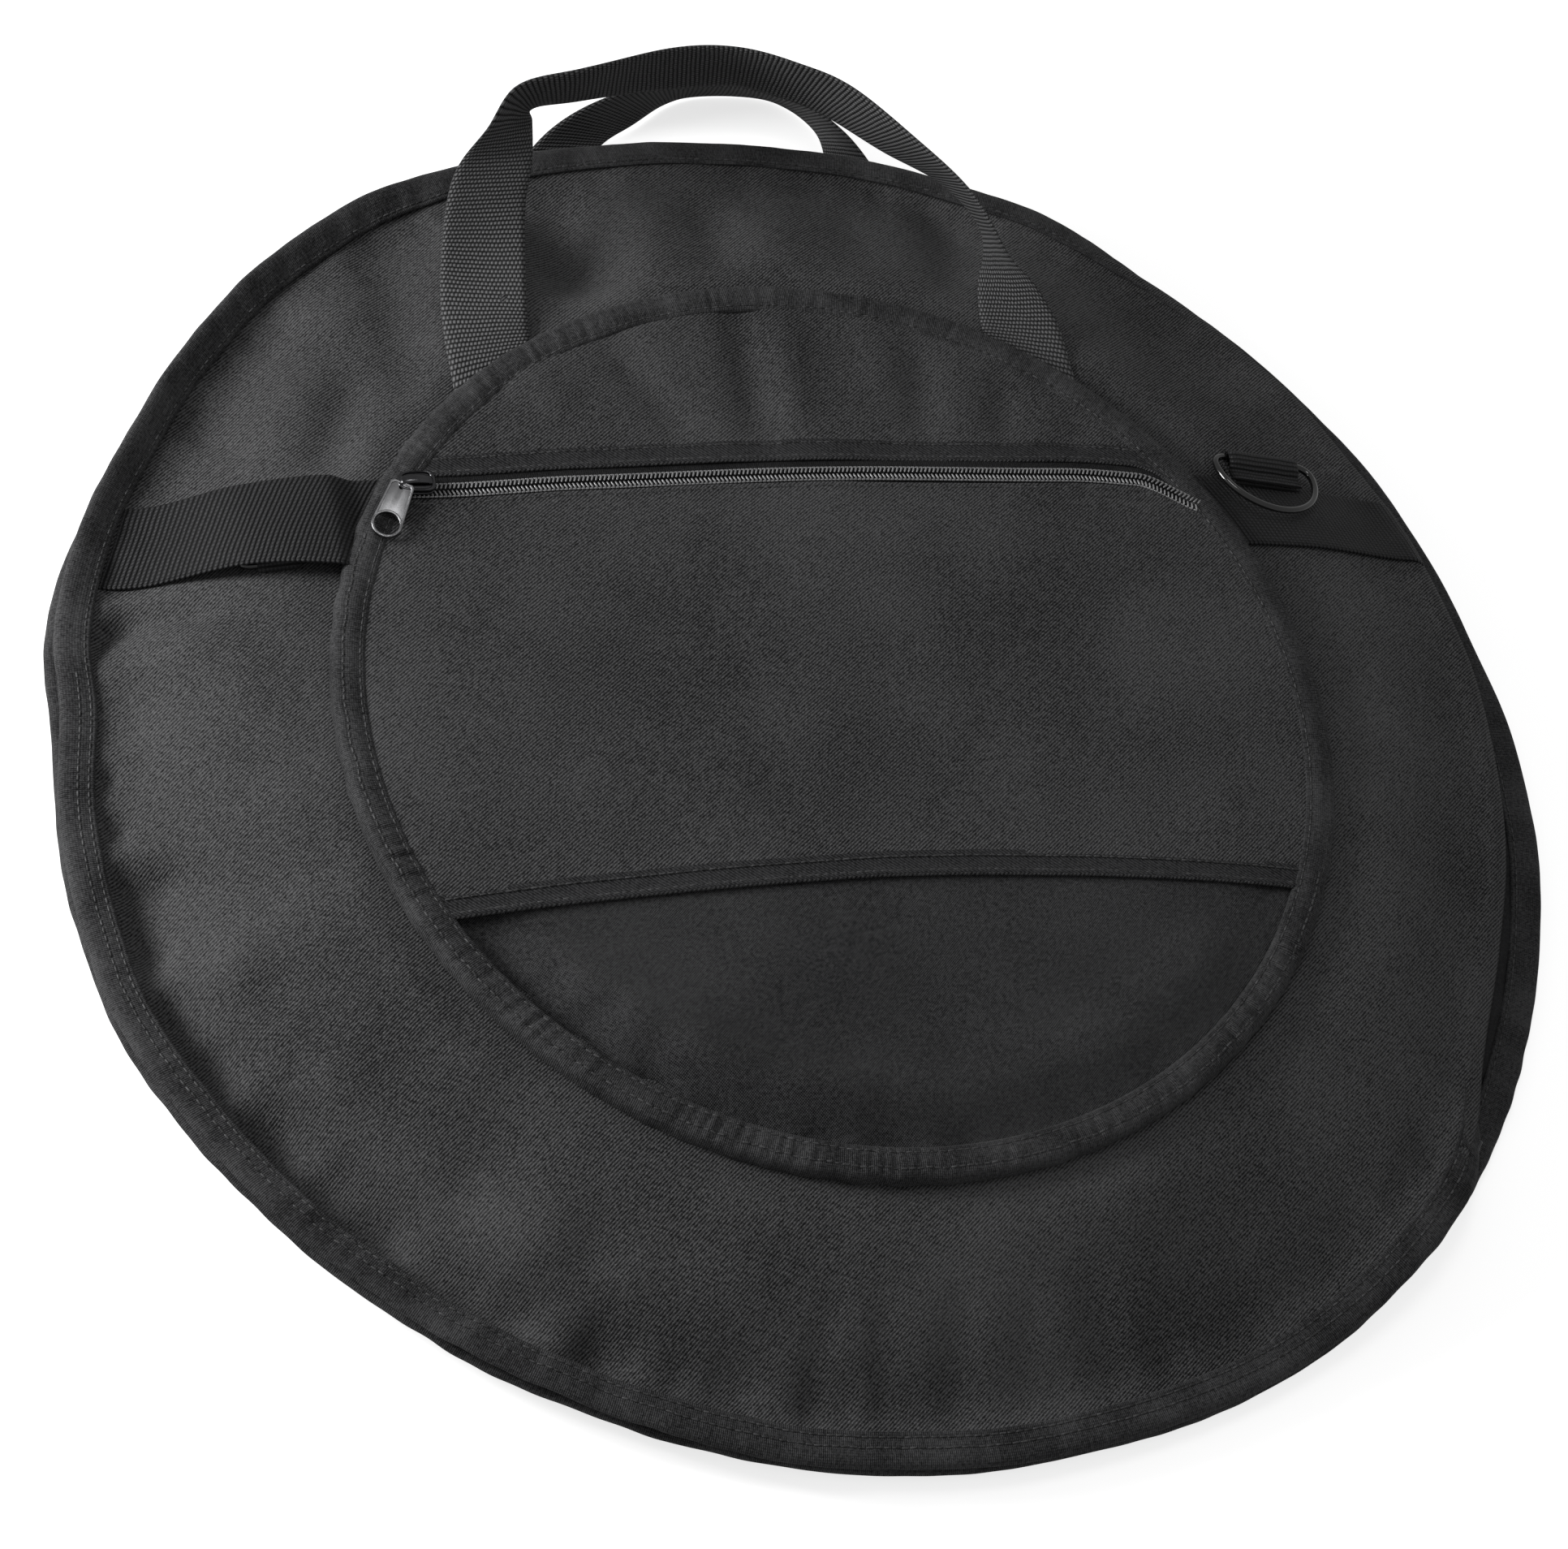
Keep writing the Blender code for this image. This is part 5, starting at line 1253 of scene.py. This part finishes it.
def zip_slider(name, cad, body, along, normal, shift=0.0):
    """Slider body of two plates with rolled side rims, and a round bridge for the pull."""
    origin = centre_of(cad) + shift
    side = np.cross(normal, along)
    low, high = spread(cad, origin, (along, side, normal))
    length, wide = high[0] - low[0], high[1] - low[1]
    middle = origin + along * (low[0] + high[0]) / 2 + side * (low[1] + high[1]) / 2
    floor, deck = low[2] + 0.7 * MM, low[2] + (high[2] - low[2]) * SLIDER_DECK
    turn = np.linspace(0, 2 * math.pi, 48, endpoint=False)
    taper = 1 - 0.22 * (0.5 - 0.5 * np.cos(turn))
    c, s = np.cos(turn), np.sin(turn)
    outline = np.stack([length / 2 * np.sign(c) * np.abs(c) ** 0.55,
                        wide / 2 * taper * np.sign(s) * np.abs(s) ** 0.6], -1)
    inner = outline * (1 - 2 * SLIDER_RIM / wide)
    t = np.linspace(0, math.pi, 22)
    bridge = np.stack([-length * 0.40 * np.cos(t), 0 * t,
                       deck + (high[2] - 1.6 * MM - deck) * np.sin(t) ** 0.55], -1)
    parts = [cut_plate([outline], SLIDER_PLATE, 0.4 * MM, floor),
             cut_plate([outline], SLIDER_PLATE, 0.4 * MM, deck),
             cut_plate([outline, inner], SLIDER_RIM_THICK, 0.5 * MM, deck + 0.3 * MM),
             rod(np.array([(length * 0.33, 0, floor), (length * 0.34, 0, deck)]), wide * 0.3,
                 np.full(2, length * 0.16)),
             rod(bridge, wide * 0.36, 1.5 * MM + 0.5 * MM * np.sin(t))]
    made = piece(name, placed(joined(parts), middle, along, side, normal), SLIDER_DARK,
                 "slider_metal", cad)
    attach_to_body(made, body)


def centre_of(cad):
    """Middle of a CAD node's box."""
    return np.array([corner(cad, 0, k) + corner(cad, 1, k) for k in range(3)]) / 2


def zip_hardware():
    """Slider and pull of the pocket zip, and of the main zip at the rim."""
    zip_slider("pocket_slider_cast", "pocket_zip_slider", "pocket_slider",
               np.array((1.0, 0.0, 0.0)), UP, POCKET_SLIDER_SHIFT)
    zip_pull("pocket_pull_tab", "pocket_zip_pull", "pocket_pull", POCKET_SLIDER_SHIFT)
    out = centre_of("main_zip_slider") * (1, 1, 0)
    out /= np.linalg.norm(out)
    zip_slider("main_slider_cast", "main_zip_slider", "main_slider", np.cross(UP, out), out)
    zip_pull("main_pull_tab", "main_zip_pull", "main_pull")


# Camera, light and floor
CAMERA_AZ, CAMERA_EL, CAMERA_ROLL = (math.radians(v) for v in (-33.2, 56.2, 26.3))
CAMERA_DISTANCE = 1.6
CAMERA_LENS, CAMERA_SENSOR = 93.88, 36
CAMERA_TARGET = Vector((-0.0219, -0.0151, 0.02))
KEY_PLACE, KEY_POWER, KEY_SIZE = Vector((-1.02, 0.26, 0.42)), 10.8, 0.36
FILL_PLACE, FILL_POWER, FILL_SIZE = (0.2, 1.2, 1.3), 3, 0.5  # right, up and back of the target
WORLD_LIGHT = 0.30
FLOOR_GLOW = 0.7
FLOOR_HALF, FLOOR_Z = 4.0, -0.2 * MM


def camera_axes():
    """Directions to the picture's right, to its top, and from it to the camera."""
    back = Vector((math.sin(CAMERA_AZ) * math.cos(CAMERA_EL),
                   -math.cos(CAMERA_AZ) * math.cos(CAMERA_EL), math.sin(CAMERA_EL)))
    level = (-back).cross(Vector((0, 0, 1))).normalized()
    upright = level.cross(-back)
    c, s = math.cos(CAMERA_ROLL), math.sin(CAMERA_ROLL)
    return level * c + upright * s, upright * c - level * s, back


def make_camera():
    data = bpy.data.cameras.new("camera")
    data.lens, data.sensor_width, data.sensor_fit = CAMERA_LENS, CAMERA_SENSOR, "HORIZONTAL"
    made = linked("camera", data)
    place = CAMERA_TARGET + camera_axes()[2] * CAMERA_DISTANCE
    made.matrix_world = Matrix.Translation(place) @ Matrix(camera_axes()).transposed().to_4x4()
    bpy.context.scene.camera = made


def area_light(name, place, energy, size):
    data = bpy.data.lights.new(name, "AREA")
    data.energy, data.size = energy, size
    made = linked(name, data)
    made.location = place
    made.rotation_euler = (CAMERA_TARGET - place).to_track_quat("-Z", "Y").to_euler()


def make_lights():
    """A key from the upper left, a weak fill, and a world that the camera sees as white."""
    area_light("key", KEY_PLACE, KEY_POWER, KEY_SIZE)
    reach = sum((axis * part for axis, part in zip(camera_axes(), FILL_PLACE)), Vector())
    area_light("fill", CAMERA_TARGET + reach, FILL_POWER, FILL_SIZE)
    world = bpy.data.worlds.new("studio")
    bpy.context.scene.world = world
    world.use_nodes = True
    tree = world.node_tree
    seen = Value(tree, "LightPath", "Is Camera Ray")
    background = tree.nodes["Background"].inputs
    background["Color"].default_value = (1, 1, 1, 1)
    strength = seen * (1 - WORLD_LIGHT) + WORLD_LIGHT
    tree.links.new(strength.socket, background["Strength"])


def make_floor():
    """A pale sheet that shows white to the camera and keeps the bag's shadow."""
    grid = np.array([[(x, y, FLOOR_Z) for x in (-FLOOR_HALF, 0, FLOOR_HALF)]
                     for y in (-FLOOR_HALF, 0, FLOOR_HALF)])
    points, faces, _ = skin(grid)
    mesh = bpy.data.meshes.new("floor")
    mesh.from_pydata(points.tolist(), [], faces)
    look = Look("floor_paper", 0.9, specular=0.1)
    look.colour(look.noise(3), grey(0.80), grey(0.84))
    seen = Value(look.tree, "LightPath", "Is Camera Ray")
    look.shader.inputs["Emission Color"].default_value = (1, 1, 1, 1)
    look.drive("Emission Strength", seen * FLOOR_GLOW)
    mesh.materials.append(look.made)
    linked("floor", mesh)


def main():
    for build in (make_camera, make_lights, make_floor, front_cover, back_cover, rim_bindings,
                  pocket_ring, pocket_panels, pocket_zip, main_zip, handles, cross_bands,
                  strap_rings, zip_hardware):
        build()
    bpy.context.scene.view_settings.view_transform = "Standard"


main()
